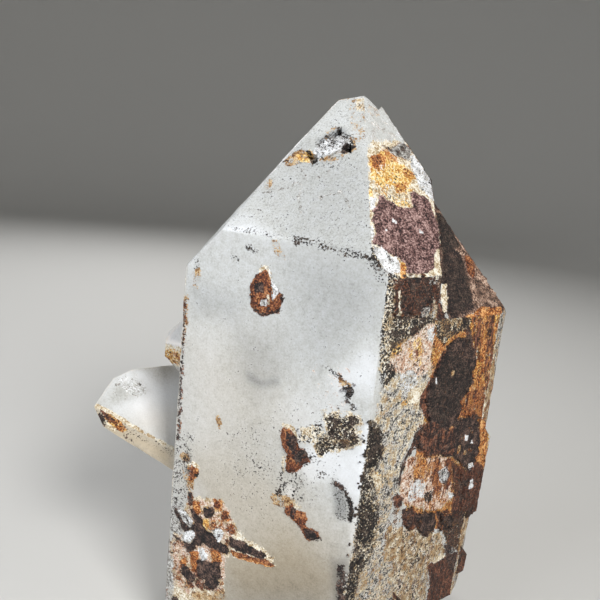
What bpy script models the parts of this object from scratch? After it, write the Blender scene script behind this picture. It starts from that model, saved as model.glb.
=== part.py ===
"""Quartz floater: two big quartz crystals grown side by side on one axis, smaller crystals on their
left and right, a healed base with a flat face to stand on, and plates of iron oxide on the faces.
Metres, +Z up along the quartz's c axis, origin under the middle of the whole specimen."""

import math

import bmesh
import bpy
from mathutils import Matrix, Vector

COLLECTION = "Quartz floater"
MM = 0.001

# Directions are an azimuth, 0 at the broad front face and growing to the right, and a rise above level.
RHOMB = 38.21
TURN = -23.1
MIDDLE = (9.0, 0.7)

# Main crystal, in millimetres: each prism face's distance from the axis, and the unbroken apex
MAIN_APEX = (0.0, 0.0, 145.2)
MAIN_PRISM = {0: 29.1, 60: 32.5, 120: 16.6, 180: 26.9, 240: 26.0, 300: 36.5}
MAIN_DROP = {120: 0.95, 180: 0.4, 240: 0.6}
MAIN_FOOT = {0: 10.5, 60: 22.0, 120: 15.0, 180: 9.0, 240: 12.0, 300: 9.0}

# Blunt broken tip, and the left slope: a point on each plane, and the way it faces
MAIN_CUTS = (
    ((2.4, -4.5, 139.6), (237, 70)),
    ((3.3, -3.6, 139.3), (132, 69)),
    ((-17.6, -29.1, 108.3), (293.1, 37.2)),
)

# Second crystal, grown on the right and back of the first with its faces parallel
SECOND_APEX = (9.65, 9.8, 127.4)
SECOND_PRISM = {0: 30.0, 60: 26.5, 78: 29.1, 120: 26.7, 180: 23.1, 240: 12.0, 300: 20.0}
SECOND_FOOT = {60: 17.0, 120: 20.0, 180: 14.0}

# Side crystal, leaning out to the left: its ridge's foot, its axis, and the way its broad face looks
SIDE_FOOT = (-30.6, -21.4, 49.3)
SIDE_AXIS = (303.4, 30.2)
SIDE_FACING = (68.3, 44.5)
SIDE_FACES = (
    (0, 0, 0.0),
    (300, 0, 0.0),
    (240, 2.7, 4.1),
    (180, 0, 15.0),
    (120, 0, 22.0),
    (64, 8, 22.8),
    (63, 38, 22.0),
    (70, 56, 23.5),
    (150, 83, 22.7),
    (236, 35, 13.2),
    (0, -90, 20.0),
)

# Small crystals parallel to the main one: apex, prism distances, foot heights above the base
SMALL_CRYSTALS = {
    "bud": ((-36.8, -10.2, 81.8), (5.2, 5.4, 6.0, 5.0, 4.6, 4.8), 71.0),
    "rib": ((34.9, 9.6, 69.5), (7.0, 4.2, 6.6, 6.5, 7.0, 7.0), 40.0),
    "chip": ((35.2, 7.4, 36.2), (3.4, 3.0, 6.8, 4.0, 4.0, 4.0), 22.5),
    "heel": ((27.0, -12.0, 27.0), (8.6, 7.6, 8.0, 9.0, 9.0, 8.4), 9.0),
    "back_bud": ((-14.0, 25.5, 98.0), (8.0, 7.0, 6.4, 7.4, 6.6, 7.6), 58.0),
    "back_heel": ((-27.0, 16.5, 44.0), (9.0, 9.0, 8.4, 9.6, 9.0, 9.4), 8.0),
    "left_heel": ((-34.0, -3.0, 27.0), (8.0, 8.0, 8.0, 8.0, 6.6, 6.2), 7.0),
    "right_heel": ((24.0, 30.0, 34.0), (8.0, 8.0, 7.4, 8.2, 8.0, 8.0), 6.0),
}

# Three-sided hollows on the upper front face and the small tablet stuck between them:
# place across and down the face from the apex, length, width and depth, and turn in degrees
HOLLOWS = {
    "hollow_right": ((3.5, -22.4), (2.9, 2.6, 3.2), -15),
    "hollow_left": ((-3.5, -25.9), (4.2, 2.2, 3.6), -50),
    "hollow_upper": ((0.3, -18.8), (4.0, 1.5, 2.4), 100),
}
TABLET = ((0.3, -22.8), (6.2, 3.6, 1.0), 50)

# Notch beside the blunt tip: its inner corner, its size, and the ways its two walls face
NOTCH_AT = (5.9, -2.8, 137.0)
NOTCH_SIZE = (6.0, 2.0, 14.0)
NOTCH_ALONG = (283.9, 34.9)
NOTCH_OUT = (130.3, 52.1)

# Oxide plates: gap under each, thickness, and outline across and up the face they lie on
GAP = 0.3
PLATE = 0.8
FACES = {
    "front": (MAIN_APEX, 0, 0, MAIN_PRISM[0]),
    "upper front": (MAIN_APEX, 0, RHOMB, 0.0),
    "right": (MAIN_APEX, 60, 0, MAIN_PRISM[60]),
    "upper right": (MAIN_APEX, 60, RHOMB, 0.0),
    "second right": (SECOND_APEX, 60, 0, SECOND_PRISM[60]),
    "second upper": (SECOND_APEX, 60, RHOMB, 0.0),
}
PLATES = {
    "rust_patch": ("front", "rust", (
        (-5.5, 101.5), (-9, 97), (-8.5, 94), (-5.5, 91.5), (-2.5, 92.5), (-1.5, 97), (-4, 98),
    )),
    "red_plate_upper": ("front", "rust", (
        (2, 68.5), (4, 68), (6, 66), (9, 62), (7, 60), (5, 58), (3.5, 58), (3.5, 61.5), (1.5, 65),
    )),
    "red_plate_lower": ("front", "rust", (
        (6, 50.5), (9, 50), (10, 48), (14, 45.5), (11.5, 44), (9.5, 44.5), (6, 47.5), (4.5, 48.5),
    )),
    "black_crust": ("front", "manganese", (
        (13, 74), (18, 74.5), (19, 70), (18, 68), (13.5, 65.5), (11, 63.5), (9.5, 65), (12, 70),
    )),
    "dark_curl": ("front", "manganese", (
        (16.5, 60), (18, 58), (19.5, 55.5), (20, 51), (18.5, 52), (17.5, 56),
    )),
    "star_crust": ("front", "hematite", (
        (-20, 44.5), (-16.5, 42), (-13.5, 43.5), (-11.5, 41.5), (-8, 38.5), (0, 38), (3.5, 34.5),
        (-4, 34), (-10.5, 30.5), (-9, 23), (-19.5, 21.5), (-22.5, 28), (-23.5, 31.5), (-24.5, 38),
    )),
    "star_bead": ("front", "rust", ((-21, 52.5), (-18.5, 52.5), (-18, 50), (-19, 48), (-21, 48))),
    "hematite_plate": ("upper right", "hematite", (
        (-10.5, -34.5), (-8, -33.5), (-4.5, -36.5), (-0.5, -36.5), (0.5, -32.5), (3, -33),
        (5.5, -36), (4.5, -41), (2, -47), (-2, -51.5), (-10.5, -51.5), (-10, -48), (-15.5, -44.5),
        (-13.5, -42), (-14, -39),
    )),
    "ochre_crust": ("upper right", "ochre", (
        (-7, -23), (2, -19.5), (4.5, -20.5), (6, -23.5), (5, -28), (2.5, -31.5), (-3, -32.5),
        (-10, -31.5),
    )),
    "brown_crust": ("right", "rust", (
        (-14, 103), (-2.5, 103), (-2.5, 99), (-4.5, 95.5), (-7, 93), (-13.5, 92), (-14.5, 98),
    )),
    "dark_edge_crust": ("right", "manganese", (
        (-13, 73.5), (-11, 69.5), (-10.5, 55.5), (-9, 44.5), (-9.5, 31.5), (-14.4, 33),
        (-14, 46), (-14.2, 61),
    )),
    "granular_crust": ("second upper", "hematite", (
        (6, -18), (9, -28.5), (11.5, -34), (13, -40), (9.5, -41), (-5, -41.8), (-1.5, -29.5),
        (2, -21),
    )),
    "charcoal_band": ("second right", "manganese", (
        (-4.5, 89.5), (1, 90), (5.5, 80), (2.5, 68.5), (9.5, 66), (9.5, 59), (8, 53.5),
        (1, 60.5), (-6, 63.5), (-8, 71.5), (-9, 79), (-6.5, 84.5),
    )),
    "rust_band": ("second right", "rust", (
        (12, 55), (11.5, 45), (11, 39), (10.5, 32), (8, 30), (7, 36.5), (7, 46), (9, 51.5),
    )),
    "brown_knob": ("second right", "rust", (
        (-5.5, 47.5), (-1.5, 47.5), (1, 43.5), (-1, 41), (-4.5, 42), (-6, 45),
    )),
}

COLOURS = {
    "quartz": ((0.60, 0.60, 0.57), 0.35),
    "hematite": ((0.135, 0.065, 0.062), 0.75),
    "rust": ((0.180, 0.048, 0.018), 0.85),
    "ochre": ((0.620, 0.330, 0.080), 0.85),
    "manganese": ((0.028, 0.025, 0.022), 0.80),
}


def direction(azimuth, rise=0.0):
    """Unit vector for an azimuth and a rise in degrees."""
    turn = math.radians(azimuth)
    level = math.cos(math.radians(rise))
    return Vector((math.sin(turn) * level, -math.cos(turn) * level, math.sin(math.radians(rise))))


def specimen_matrix():
    """Turns the specimen to its front view, stands it on its origin and scales it to metres."""
    shift = Matrix.Translation((MIDDLE[0], -MIDDLE[1], 0.0))
    return Matrix.Scale(MM, 4) @ shift @ Matrix.Rotation(math.radians(TURN), 4, "Z")


def material(name):
    found = bpy.data.materials.get(name)
    if found:
        return found
    made = bpy.data.materials.new(name)
    made.use_nodes = True
    colour, roughness = COLOURS[name]
    shader = made.node_tree.nodes["Principled BSDF"]
    shader.inputs["Base Color"].default_value = (*colour, 1.0)
    shader.inputs["Roughness"].default_value = roughness
    shader.inputs["Metallic"].default_value = 0.0
    made.diffuse_color = (*colour, 1.0)
    return made


def slice_off(bm, point, normal):
    """Cuts away all that lies beyond a plane and closes the cut with one flat face."""
    everything = bm.verts[:] + bm.edges[:] + bm.faces[:]
    cut = bmesh.ops.bisect_plane(
        bm, geom=everything, dist=1e-4, plane_co=point, plane_no=normal, clear_outer=True
    )
    rim = [part for part in cut["geom_cut"] if isinstance(part, bmesh.types.BMEdge)]
    if rim:
        bmesh.ops.holes_fill(bm, edges=rim)


def block(size):
    """A cube large enough to hold a crystal, to be cut down to its faces."""
    bm = bmesh.new()
    bmesh.ops.create_cube(bm, size=size)
    return bm


def finish(name, bm, placing, collection, colour="quartz"):
    bmesh.ops.transform(bm, matrix=placing, verts=bm.verts)
    bmesh.ops.recalc_face_normals(bm, faces=bm.faces)
    mesh = bpy.data.meshes.new(name)
    bm.to_mesh(mesh)
    bm.free()
    made = bpy.data.objects.new(name, mesh)
    made.data.materials.append(material(colour))
    collection.objects.link(made)
    return made


def upright_crystal(name, apex, prism, collection, drop=None, foot=None, cuts=(), floor=0.0):
    """A six-sided point: prism faces, six rhomb faces to the apex, and rhomb faces at the foot."""
    top = Vector(apex)
    bm = block(400.0)
    for azimuth, distance in prism.items():
        slice_off(bm, top + direction(azimuth) * distance, direction(azimuth))
    for azimuth in range(0, 360, 60):
        normal = direction(azimuth, RHOMB)
        slice_off(bm, top - normal * (drop or {}).get(azimuth, 0.0), normal)
    for azimuth, height in (foot or {}).items():
        edge = top + direction(azimuth) * prism[azimuth]
        slice_off(bm, Vector((edge.x, edge.y, height)), direction(azimuth, -RHOMB))
    for point, facing in cuts:
        slice_off(bm, Vector(point), direction(*facing))
    slice_off(bm, Vector((0.0, 0.0, floor)), Vector((0.0, 0.0, -1.0)))
    return finish(name, bm, specimen_matrix(), collection)


def leaning_crystal(name, collection):
    """The side crystal: planes by azimuth and rise about its own axis, and distance from its foot."""
    axis = direction(*SIDE_AXIS)
    facing = direction(*SIDE_FACING)
    front = (facing - axis * facing.dot(axis)).normalized()
    right = (-front).cross(axis).normalized()
    own = Matrix((right, -front, axis)).transposed().to_4x4()
    bm = block(120.0)
    for azimuth, rise, distance in SIDE_FACES:
        normal = direction(azimuth, rise)
        slice_off(bm, normal * distance, normal)
    placing = specimen_matrix() @ Matrix.Translation(SIDE_FOOT) @ own
    return finish(name, bm, placing, collection)


def small_crystal(name, collection):
    apex, distances, foot_height = SMALL_CRYSTALS[name]
    prism = dict(zip(range(0, 360, 60), distances))
    foot = {azimuth: foot_height for azimuth in prism}
    return upright_crystal(name, apex, prism, collection, foot=foot, floor=1.5)


def face_frame(face):
    """Matrix of a face: X across it, Y up it, Z out of it, from the crystal's axis or apex."""
    apex, azimuth, rise, distance = FACES[face]
    normal = direction(azimuth, rise)
    across = direction(azimuth + 90)
    up = normal.cross(across)
    start = Vector(apex) if rise else Vector((apex[0], apex[1], 0.0))
    lie = Matrix((across, up, normal)).transposed().to_4x4()
    return Matrix.Translation(start + normal * distance) @ lie


def on_upper_front(place, turn):
    """Matrix of a spot on the upper front face, turned about the face's normal."""
    spot = Matrix.Translation((*place, 0.0)) @ Matrix.Rotation(math.radians(turn), 4, "Z")
    return specimen_matrix() @ face_frame("upper front") @ spot


def hollow(name, collection):
    """Three-sided prism, half sunk into the upper front face, to be cut away."""
    place, size, turn = HOLLOWS[name]
    bm = bmesh.new()
    bmesh.ops.create_cone(bm, cap_ends=True, segments=3, radius1=0.6, radius2=0.6, depth=1.0)
    bmesh.ops.scale(bm, vec=size, verts=bm.verts)
    return finish(name, bm, on_upper_front(place, turn), collection)


def tablet(collection):
    """Small flat crystal stuck in the upper front face, standing half its thickness proud."""
    place, size, turn = TABLET
    bm = block(1.0)
    bmesh.ops.scale(bm, vec=size, verts=bm.verts)
    return finish("tablet", bm, on_upper_front(place, turn), collection)


def tip_notch(collection):
    """Box whose inner corner lies in the notch beside the tip, to be cut away."""
    along = direction(*NOTCH_ALONG)
    out = direction(*NOTCH_OUT)
    lie = Matrix((along, out, along.cross(out))).transposed().to_4x4()
    centre = Matrix.Translation((NOTCH_SIZE[0] / 2, NOTCH_SIZE[1] / 2, 0.0))
    bm = block(1.0)
    bmesh.ops.scale(bm, vec=NOTCH_SIZE, verts=bm.verts)
    placing = specimen_matrix() @ Matrix.Translation(NOTCH_AT) @ lie @ centre
    return finish("tip_notch", bm, placing, collection)


def oxide_plate(name, collection):
    """A flat crust plate cut to its outline, held just off the face it grew on."""
    face, colour, outline = PLATES[name]
    curve = bpy.data.curves.new(name, "CURVE")
    curve.dimensions = "2D"
    curve.fill_mode = "BOTH"
    curve.extrude = PLATE / 2
    spline = curve.splines.new("POLY")
    spline.points.add(len(outline) - 1)
    for point, (across, up) in zip(spline.points, outline):
        point.co = (across, up, 0.0, 1.0)
    spline.use_cyclic_u = True
    curve.materials.append(material(colour))
    made = bpy.data.objects.new(name, curve)
    lift = Matrix.Translation((0.0, 0.0, GAP + PLATE / 2))
    made.matrix_world = specimen_matrix() @ face_frame(face) @ lift
    collection.objects.link(made)
    return made


def join(body, other, operation):
    step = body.modifiers.new(other.name, "BOOLEAN")
    step.operation = operation
    step.solver = "EXACT"
    step.object = other


def main():
    for old in list(bpy.data.objects):
        bpy.data.objects.remove(old)
    parts = bpy.data.collections.new(COLLECTION)
    helpers = bpy.data.collections.new("Grown on and cut away")
    bpy.context.scene.collection.children.link(parts)
    bpy.context.scene.collection.children.link(helpers)
    quartz = upright_crystal(
        "quartz_crystals", MAIN_APEX, MAIN_PRISM, parts, MAIN_DROP, MAIN_FOOT, MAIN_CUTS
    )
    second = upright_crystal(
        "second", SECOND_APEX, SECOND_PRISM, helpers, foot=SECOND_FOOT, floor=0.8
    )
    join(quartz, second, "UNION")
    join(quartz, leaning_crystal("side", helpers), "UNION")
    for name in SMALL_CRYSTALS:
        join(quartz, small_crystal(name, helpers), "UNION")
    for name in HOLLOWS:
        join(quartz, hollow(name, helpers), "DIFFERENCE")
    join(quartz, tablet(helpers), "UNION")
    join(quartz, tip_notch(helpers), "DIFFERENCE")
    for helper in helpers.objects:
        helper.hide_render = True
        helper.display_type = "WIRE"
    for name in PLATES:
        oxide_plate(name, parts)


main()
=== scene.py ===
"""Looks of a quartz floater: two milky quartz crystals side by side with smaller ones, and the iron and
manganese oxides on their faces. Each stain and crust has an outline, which is put on its crystal face."""

import math

import bmesh
import bpy
import numpy as np
from mathutils import Matrix, Vector, geometry, kdtree


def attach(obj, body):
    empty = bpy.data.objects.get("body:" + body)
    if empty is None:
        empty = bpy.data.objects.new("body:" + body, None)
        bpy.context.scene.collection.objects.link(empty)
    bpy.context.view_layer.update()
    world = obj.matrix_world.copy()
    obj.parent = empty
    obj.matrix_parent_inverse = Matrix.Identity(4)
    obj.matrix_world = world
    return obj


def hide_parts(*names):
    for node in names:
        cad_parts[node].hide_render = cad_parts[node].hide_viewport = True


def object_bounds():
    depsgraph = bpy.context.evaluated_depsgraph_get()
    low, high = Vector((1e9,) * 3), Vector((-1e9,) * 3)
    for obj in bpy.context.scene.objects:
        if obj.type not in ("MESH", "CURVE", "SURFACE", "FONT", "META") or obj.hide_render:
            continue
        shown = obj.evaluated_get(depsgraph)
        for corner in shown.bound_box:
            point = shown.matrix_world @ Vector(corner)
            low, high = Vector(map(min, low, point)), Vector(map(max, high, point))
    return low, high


bl_info = {
    "name": "Quartz floater",
    "version": (1, 0, 0),
    "blender": (4, 5, 0),
    "location": "View3D > Sidebar > Floater",
    "description": "Builds the crystals, their oxide crusts and a plain stage",
    "category": "Object",
}

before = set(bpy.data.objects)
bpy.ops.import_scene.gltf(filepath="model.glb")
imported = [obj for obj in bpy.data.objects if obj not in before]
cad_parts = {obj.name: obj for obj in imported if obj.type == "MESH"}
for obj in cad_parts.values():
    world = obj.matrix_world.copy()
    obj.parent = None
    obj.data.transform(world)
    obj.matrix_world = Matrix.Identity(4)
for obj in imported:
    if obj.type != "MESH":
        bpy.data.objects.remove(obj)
CAD_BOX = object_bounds()

MM = 0.001
# The crystal's own frame is in millimetres, its z axis up the main crystal. In the shared frame it is turned
# about that axis and its axis is shifted
TURN = math.radians(-23.1)
MIDDLE = (9.0, -0.7)
# How far the rhomb faces of quartz look upwards, degrees
RHOMB = 38.21

# Crystal faces that carry painted stains: azimuth (0 at the broad front), rise, distance from the axis
FACES = {
    "front": (0, 0, 29.1),
    "upper_front": (0, RHOMB, 89.81),
    "right": (60, 0, 32.5),
    "upper_right": (60, RHOMB, 89.81),
    "second_right": (60, 0, 29.957),
    "second_upper": (60, RHOMB, 81.52),
    "side_top": (68.3, 44.5, 19.92),
    "side_low": (30.5, -5.0, -1.39),
    "edge_strip": (78, 0, 36.5),
    "upper_left": (300, RHOMB, 89.81),
}

# Distance of the main crystal's narrow right-hand wall, which carries the right face's stains on
MAIN_STEP = 16.6
# Height above which that wall has the stains of the unseen faces
WALL_TOP = 97.0
# Facets this far above or below the upper front face's plane, and left of this, belong to its hollows
HOLLOW_DEPTHS = (-5.0, 2.5)
HOLLOWS_END = 12

# The photo's viewpoint in the shared frame: place, then the directions to its right, up and ahead, then the
# lens and its sensor in millimetres, and the photo's size in pixels
CAMERA_PLACE = (0.000144, -0.152772, 0.124805)
CAMERA_RIGHT = (0.994505, 0.023391, 0.102040)
CAMERA_UP = (-0.104687, 0.222213, 0.969362)
CAMERA_AHEAD = (0.0, 0.974718, -0.223441)
LENS = 37.398
SENSOR_WIDTH = 36.0
PHOTO_SIZE = 600

# Stains are kept three to a vector attribute, each as a signed distance that the materials turn into a mask
STAIN_SETS = {
    "stain_pale": ("cream", "pinkish", "white"),
    "stain_brown": ("tan", "ochre", "orange"),
    "stain_red": ("rust", "redbrown", "purple"),
    "stain_grey": ("charcoal", "olive", "grey"),
    # The glints in the last set are painted highlights, not stains
    "stain_dark": ("dark", "black", "glint"),
}
# Painting order: each kind covers those before it
PAINTED = ("cream", "pinkish", "tan", "ochre", "orange", "rust", "redbrown", "purple", "charcoal", "olive",
           "grey", "white", "dark", "black", "glint")
# Painted light and shade with the mineral's own clouds, and how warm it is; then what its surface feels like
TONES = ("painted_light_and_cloud", "warm")
TOUCHES = ("grit", "fibre")
# Field value of solid cover, and with a minus that of none
DEEP = 4.0
# Field value for each unit of level, and the level from which cover is solid
GAIN = 2.4
SOLID = 0.85
# A stain of this level or more wipes out the kinds that would cover it
WIPES = 0.7
# Borders wider than this belong to wide stains
WIDE = 0.45
# Everything painted, three to a vector attribute
PAINT_SETS = {**STAIN_SETS, "tone": TONES, "touch": TOUCHES}
# Stains whose grains aren't drawn out into fibres
GRANULAR = ("purple", "charcoal", "white", "dark", "black", "glint")
# Fine grit and upright fibres in each face's surface, from 0 to 1
FEEL = {
    "front": (0.3, 0.0), "upper_front": (1.0, 0.0), "right": (0.5, 0.35), "upper_right": (0.8, 0.0),
    "second_right": (0.4, 1.0), "second_upper": (0.8, 0.0), "side_top": (0.4, 0.0), "side_low": (0.5, 0.0),
    "edge_strip": (0.4, 0.6), "upper_left": (0.8, 0.0),
}

# How unbroken the wide stains lie on the rough faces, and on all others
FIRM = {"right": 0.55, "second_right": 0.55, "second_upper": 0.6, "upper_right": 0.8}
FIRM_ELSEWHERE = 1.7

# Noise that shapes the surfaces: size of its lumps in millimetres, seed, how many sizes it has
NOISE = {
    "broad": (9.0, 11, 3), "fine": (1.6, 21, 3), "frost": (1.1, 23, 3), "skin": (1.0, 25, 3),
    "streaks": (3.2, 31, 4), "pits": (0.9, 35, 2), "grains": (1.4, 41, 3), "steps": (14.0, 51, 2),
    "tone": (22.0, 75, 2), "wear": (2.4, 81, 3), "coast": (1.4, 91, 3), "teeth": (0.6, 95, 2),
    "ridges": (2.2, 111, 2), "ridge_grit": (0.5, 113, 2),
}
LUMP_NOISE = (101, 3)

# Crusts: the face each lies on, its islands and the holes in them. Every outline here and below was traced
# over the photo: its points in order, as pixels from the left and from the top in turn
CRUSTS = {
    "rust_patch": ("front", ((266.4, 268.9, 256, 275.7, 250.3, 285.7, 251, 307, 262, 316.3, 279, 312.5,
     282.8, 296.4, 279, 291.8, 275.2, 298.7, 272, 301.8, 272, 286.5, 269.8, 277.3),), ((260, 300, 267, 300,
     268, 305.5, 261, 305.5),)),
    "red_plate_upper": ("front", ((283, 427, 289, 427, 294, 434, 299, 446, 306, 453, 309, 461, 303, 466, 297,
     472, 288, 473, 285, 470, 287, 455, 283, 446, 280, 436), (310, 457.5, 317, 458, 316, 461, 310, 461),),
     ()),
    "red_plate_lower": ("front", ((286, 507, 292, 505, 296, 511, 305, 513, 308, 520, 306, 524, 308, 528, 316,
     530, 321, 537, 316, 540, 308, 541, 303, 534, 299, 526, 291, 518, 286, 514),), ()),
    "black_crust": ("front", ((326, 419, 331, 414, 337, 413, 341, 419, 341, 425, 335, 430, 341, 435, 342,
     440, 335, 438, 331, 434, 329, 422), (344, 419, 347, 417, 354, 417, 359, 419, 358, 425, 354, 431, 358,
     438, 357, 443, 351, 446, 345, 448, 341, 444, 341, 436, 347, 427), (318, 437, 324, 437, 327, 441, 331,
     440, 338, 443, 332, 448, 327, 449, 322, 446, 319, 448, 316, 445), (316, 451, 321, 450, 326, 452, 320,
     456, 317, 455), (343, 386, 349, 384, 354, 390, 353, 396, 347, 402, 345, 396),), ()),
    "dark_curl": ("front", ((340, 482, 344, 486, 350, 496, 353.5, 508, 353.5, 518, 351, 523, 348, 519, 349,
     505, 345, 495, 338, 487, 333, 484),), ()),
    "star_crust": ("front", ((190, 506, 196, 514, 202, 518, 203, 526, 207, 531, 212, 533, 218, 541, 226, 545,
     230, 551, 227, 554, 220, 552, 213, 548, 206, 546, 203, 543, 201, 546, 196, 545, 193, 551, 189, 552, 185,
     547, 183, 541, 190, 543, 195, 539, 196, 532, 191, 530, 186, 532, 181, 528, 180, 522, 175, 513, 174, 506,
     177, 508, 181, 516, 186, 524, 190, 527, 194, 523, 192, 515), (229, 536, 236, 537, 243, 540, 250, 544,
     257, 548, 264, 550, 268, 555, 273, 562, 275, 567, 268, 567, 256, 562, 246, 560, 238, 558, 232, 555, 229,
     546), (198, 560, 206, 559, 213, 563, 217, 568, 220, 562, 222, 575, 221, 588, 214, 591, 206, 588, 198,
     588, 204, 582, 200, 577, 197, 570), (181, 560, 187, 565, 190, 572, 197, 574, 198, 581, 192, 584, 186,
     580, 181, 574), (203, 508, 213, 507, 215, 513, 212, 518, 205, 518, 203, 513), (192, 501, 200, 501, 201,
     512, 197, 516, 193, 509), (215, 501, 220, 501, 222, 507, 217, 509, 214, 505), (221, 511, 226, 511, 231,
     518, 237, 533, 231, 536, 227, 527, 222, 519), (190, 551, 198, 552, 200, 562, 199, 572, 192, 572, 190,
     560), (210, 549, 220, 550, 222, 560, 218, 568, 212, 562), (202, 519, 209, 519, 210, 527, 205, 531, 202,
     526),), ()),
    "star_bead": ("front", ((187, 464, 192, 462, 198, 465, 199, 473, 196, 479, 192, 482, 188, 480, 189,
     472),), ()),
    "hematite_plate": ("upper_right", ((378, 195, 383, 195, 386, 200, 392, 202, 398, 207, 404, 208, 410, 208,
     413, 207, 411, 200, 410, 193, 414, 191, 421, 196, 427, 200, 430, 205, 433, 212, 436, 220, 438, 226, 439,
     235, 440, 243, 439, 250, 435, 256, 434, 268, 428, 273, 416, 275, 406, 273, 402, 265, 400, 258, 396, 258,
     390, 254, 384, 249, 377, 245, 372, 243, 373, 238, 376, 234, 375, 228, 373, 224, 371, 220, 374, 213, 372,
     211, 375, 207, 378, 203, 379, 199),), ()),
    "ochre_crust": ("upper_right", ((370, 157, 378, 154, 381, 150, 388, 152, 393, 158, 398, 163, 405, 166,
     411, 172, 416, 176, 412, 182, 408, 186, 404, 191, 397, 191, 396, 186, 388, 186, 380, 187, 374, 184, 371,
     177, 370, 168), (383, 146, 390, 150, 395, 146, 402, 142, 409, 147, 412, 152, 408, 160, 402, 158, 396,
     156, 390, 152),), ()),
    "brown_crust": ("right", ((400, 279, 406, 277, 414, 279, 424, 276, 429, 278, 432, 284, 434, 290, 438,
     288, 437, 296, 431, 300, 428, 306, 422, 308, 419, 314, 414, 318, 408, 314, 402, 318, 399, 312, 399, 300,
     401, 290), (394, 288, 397, 290, 398, 300, 398, 314, 394, 318, 391, 312, 392, 300),), ()),
    "dark_edge_crust": ("right", ((371, 424, 379, 427, 382, 446, 379, 460, 372, 470, 374, 486, 377, 500, 377,
     522, 373, 545, 366, 566, 361, 602, 346, 602, 350, 575, 355, 550, 359, 520, 361, 490, 364, 465, 367,
     445),), ()),
    "granular_crust": ("second_upper", ((437.5, 207, 445, 219, 457, 239, 484, 278, 502, 303, 505, 309, 500,
     312, 474, 312, 450, 316, 445, 292, 443, 262, 439, 236),), ()),
    "charcoal_band": ("second_right", ((446, 346, 455, 338, 466, 338, 474, 350, 477, 362, 472, 372, 473, 382,
     467, 392, 460, 400, 461, 410, 457, 418, 465, 416, 474, 414, 484, 420, 484, 436, 478, 448, 474, 462, 466,
     470, 458, 462, 452, 458, 446, 458, 436, 454, 426, 456, 418, 450, 414, 444, 416, 436, 426, 428, 429, 420,
     425, 404, 422, 398, 429, 388, 431, 378, 437, 368, 442, 358),), ()),
    "rust_band": ("second_right", ((460, 468, 468, 455, 480, 445, 484, 455, 482, 470, 480, 490, 475, 510,
     468, 518, 460, 510, 462, 490, 458, 480),), ()),
    "brown_knob": ("second_right", ((416, 514, 424, 511, 434, 512, 436, 520, 432, 530, 424, 537, 418, 532,
     415, 522), (402, 510, 412, 507, 417, 514, 414, 526, 408, 530, 402, 524), (438, 513, 448, 510, 453, 518,
     449, 528, 439, 529), (392, 498, 397, 494, 403, 498, 402, 506, 394, 508),), ()),
}


def island(crust, number=0):
    """Outline of one island of a crust, for the stain that colours it."""
    return CRUSTS[crust][1][number]
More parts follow.
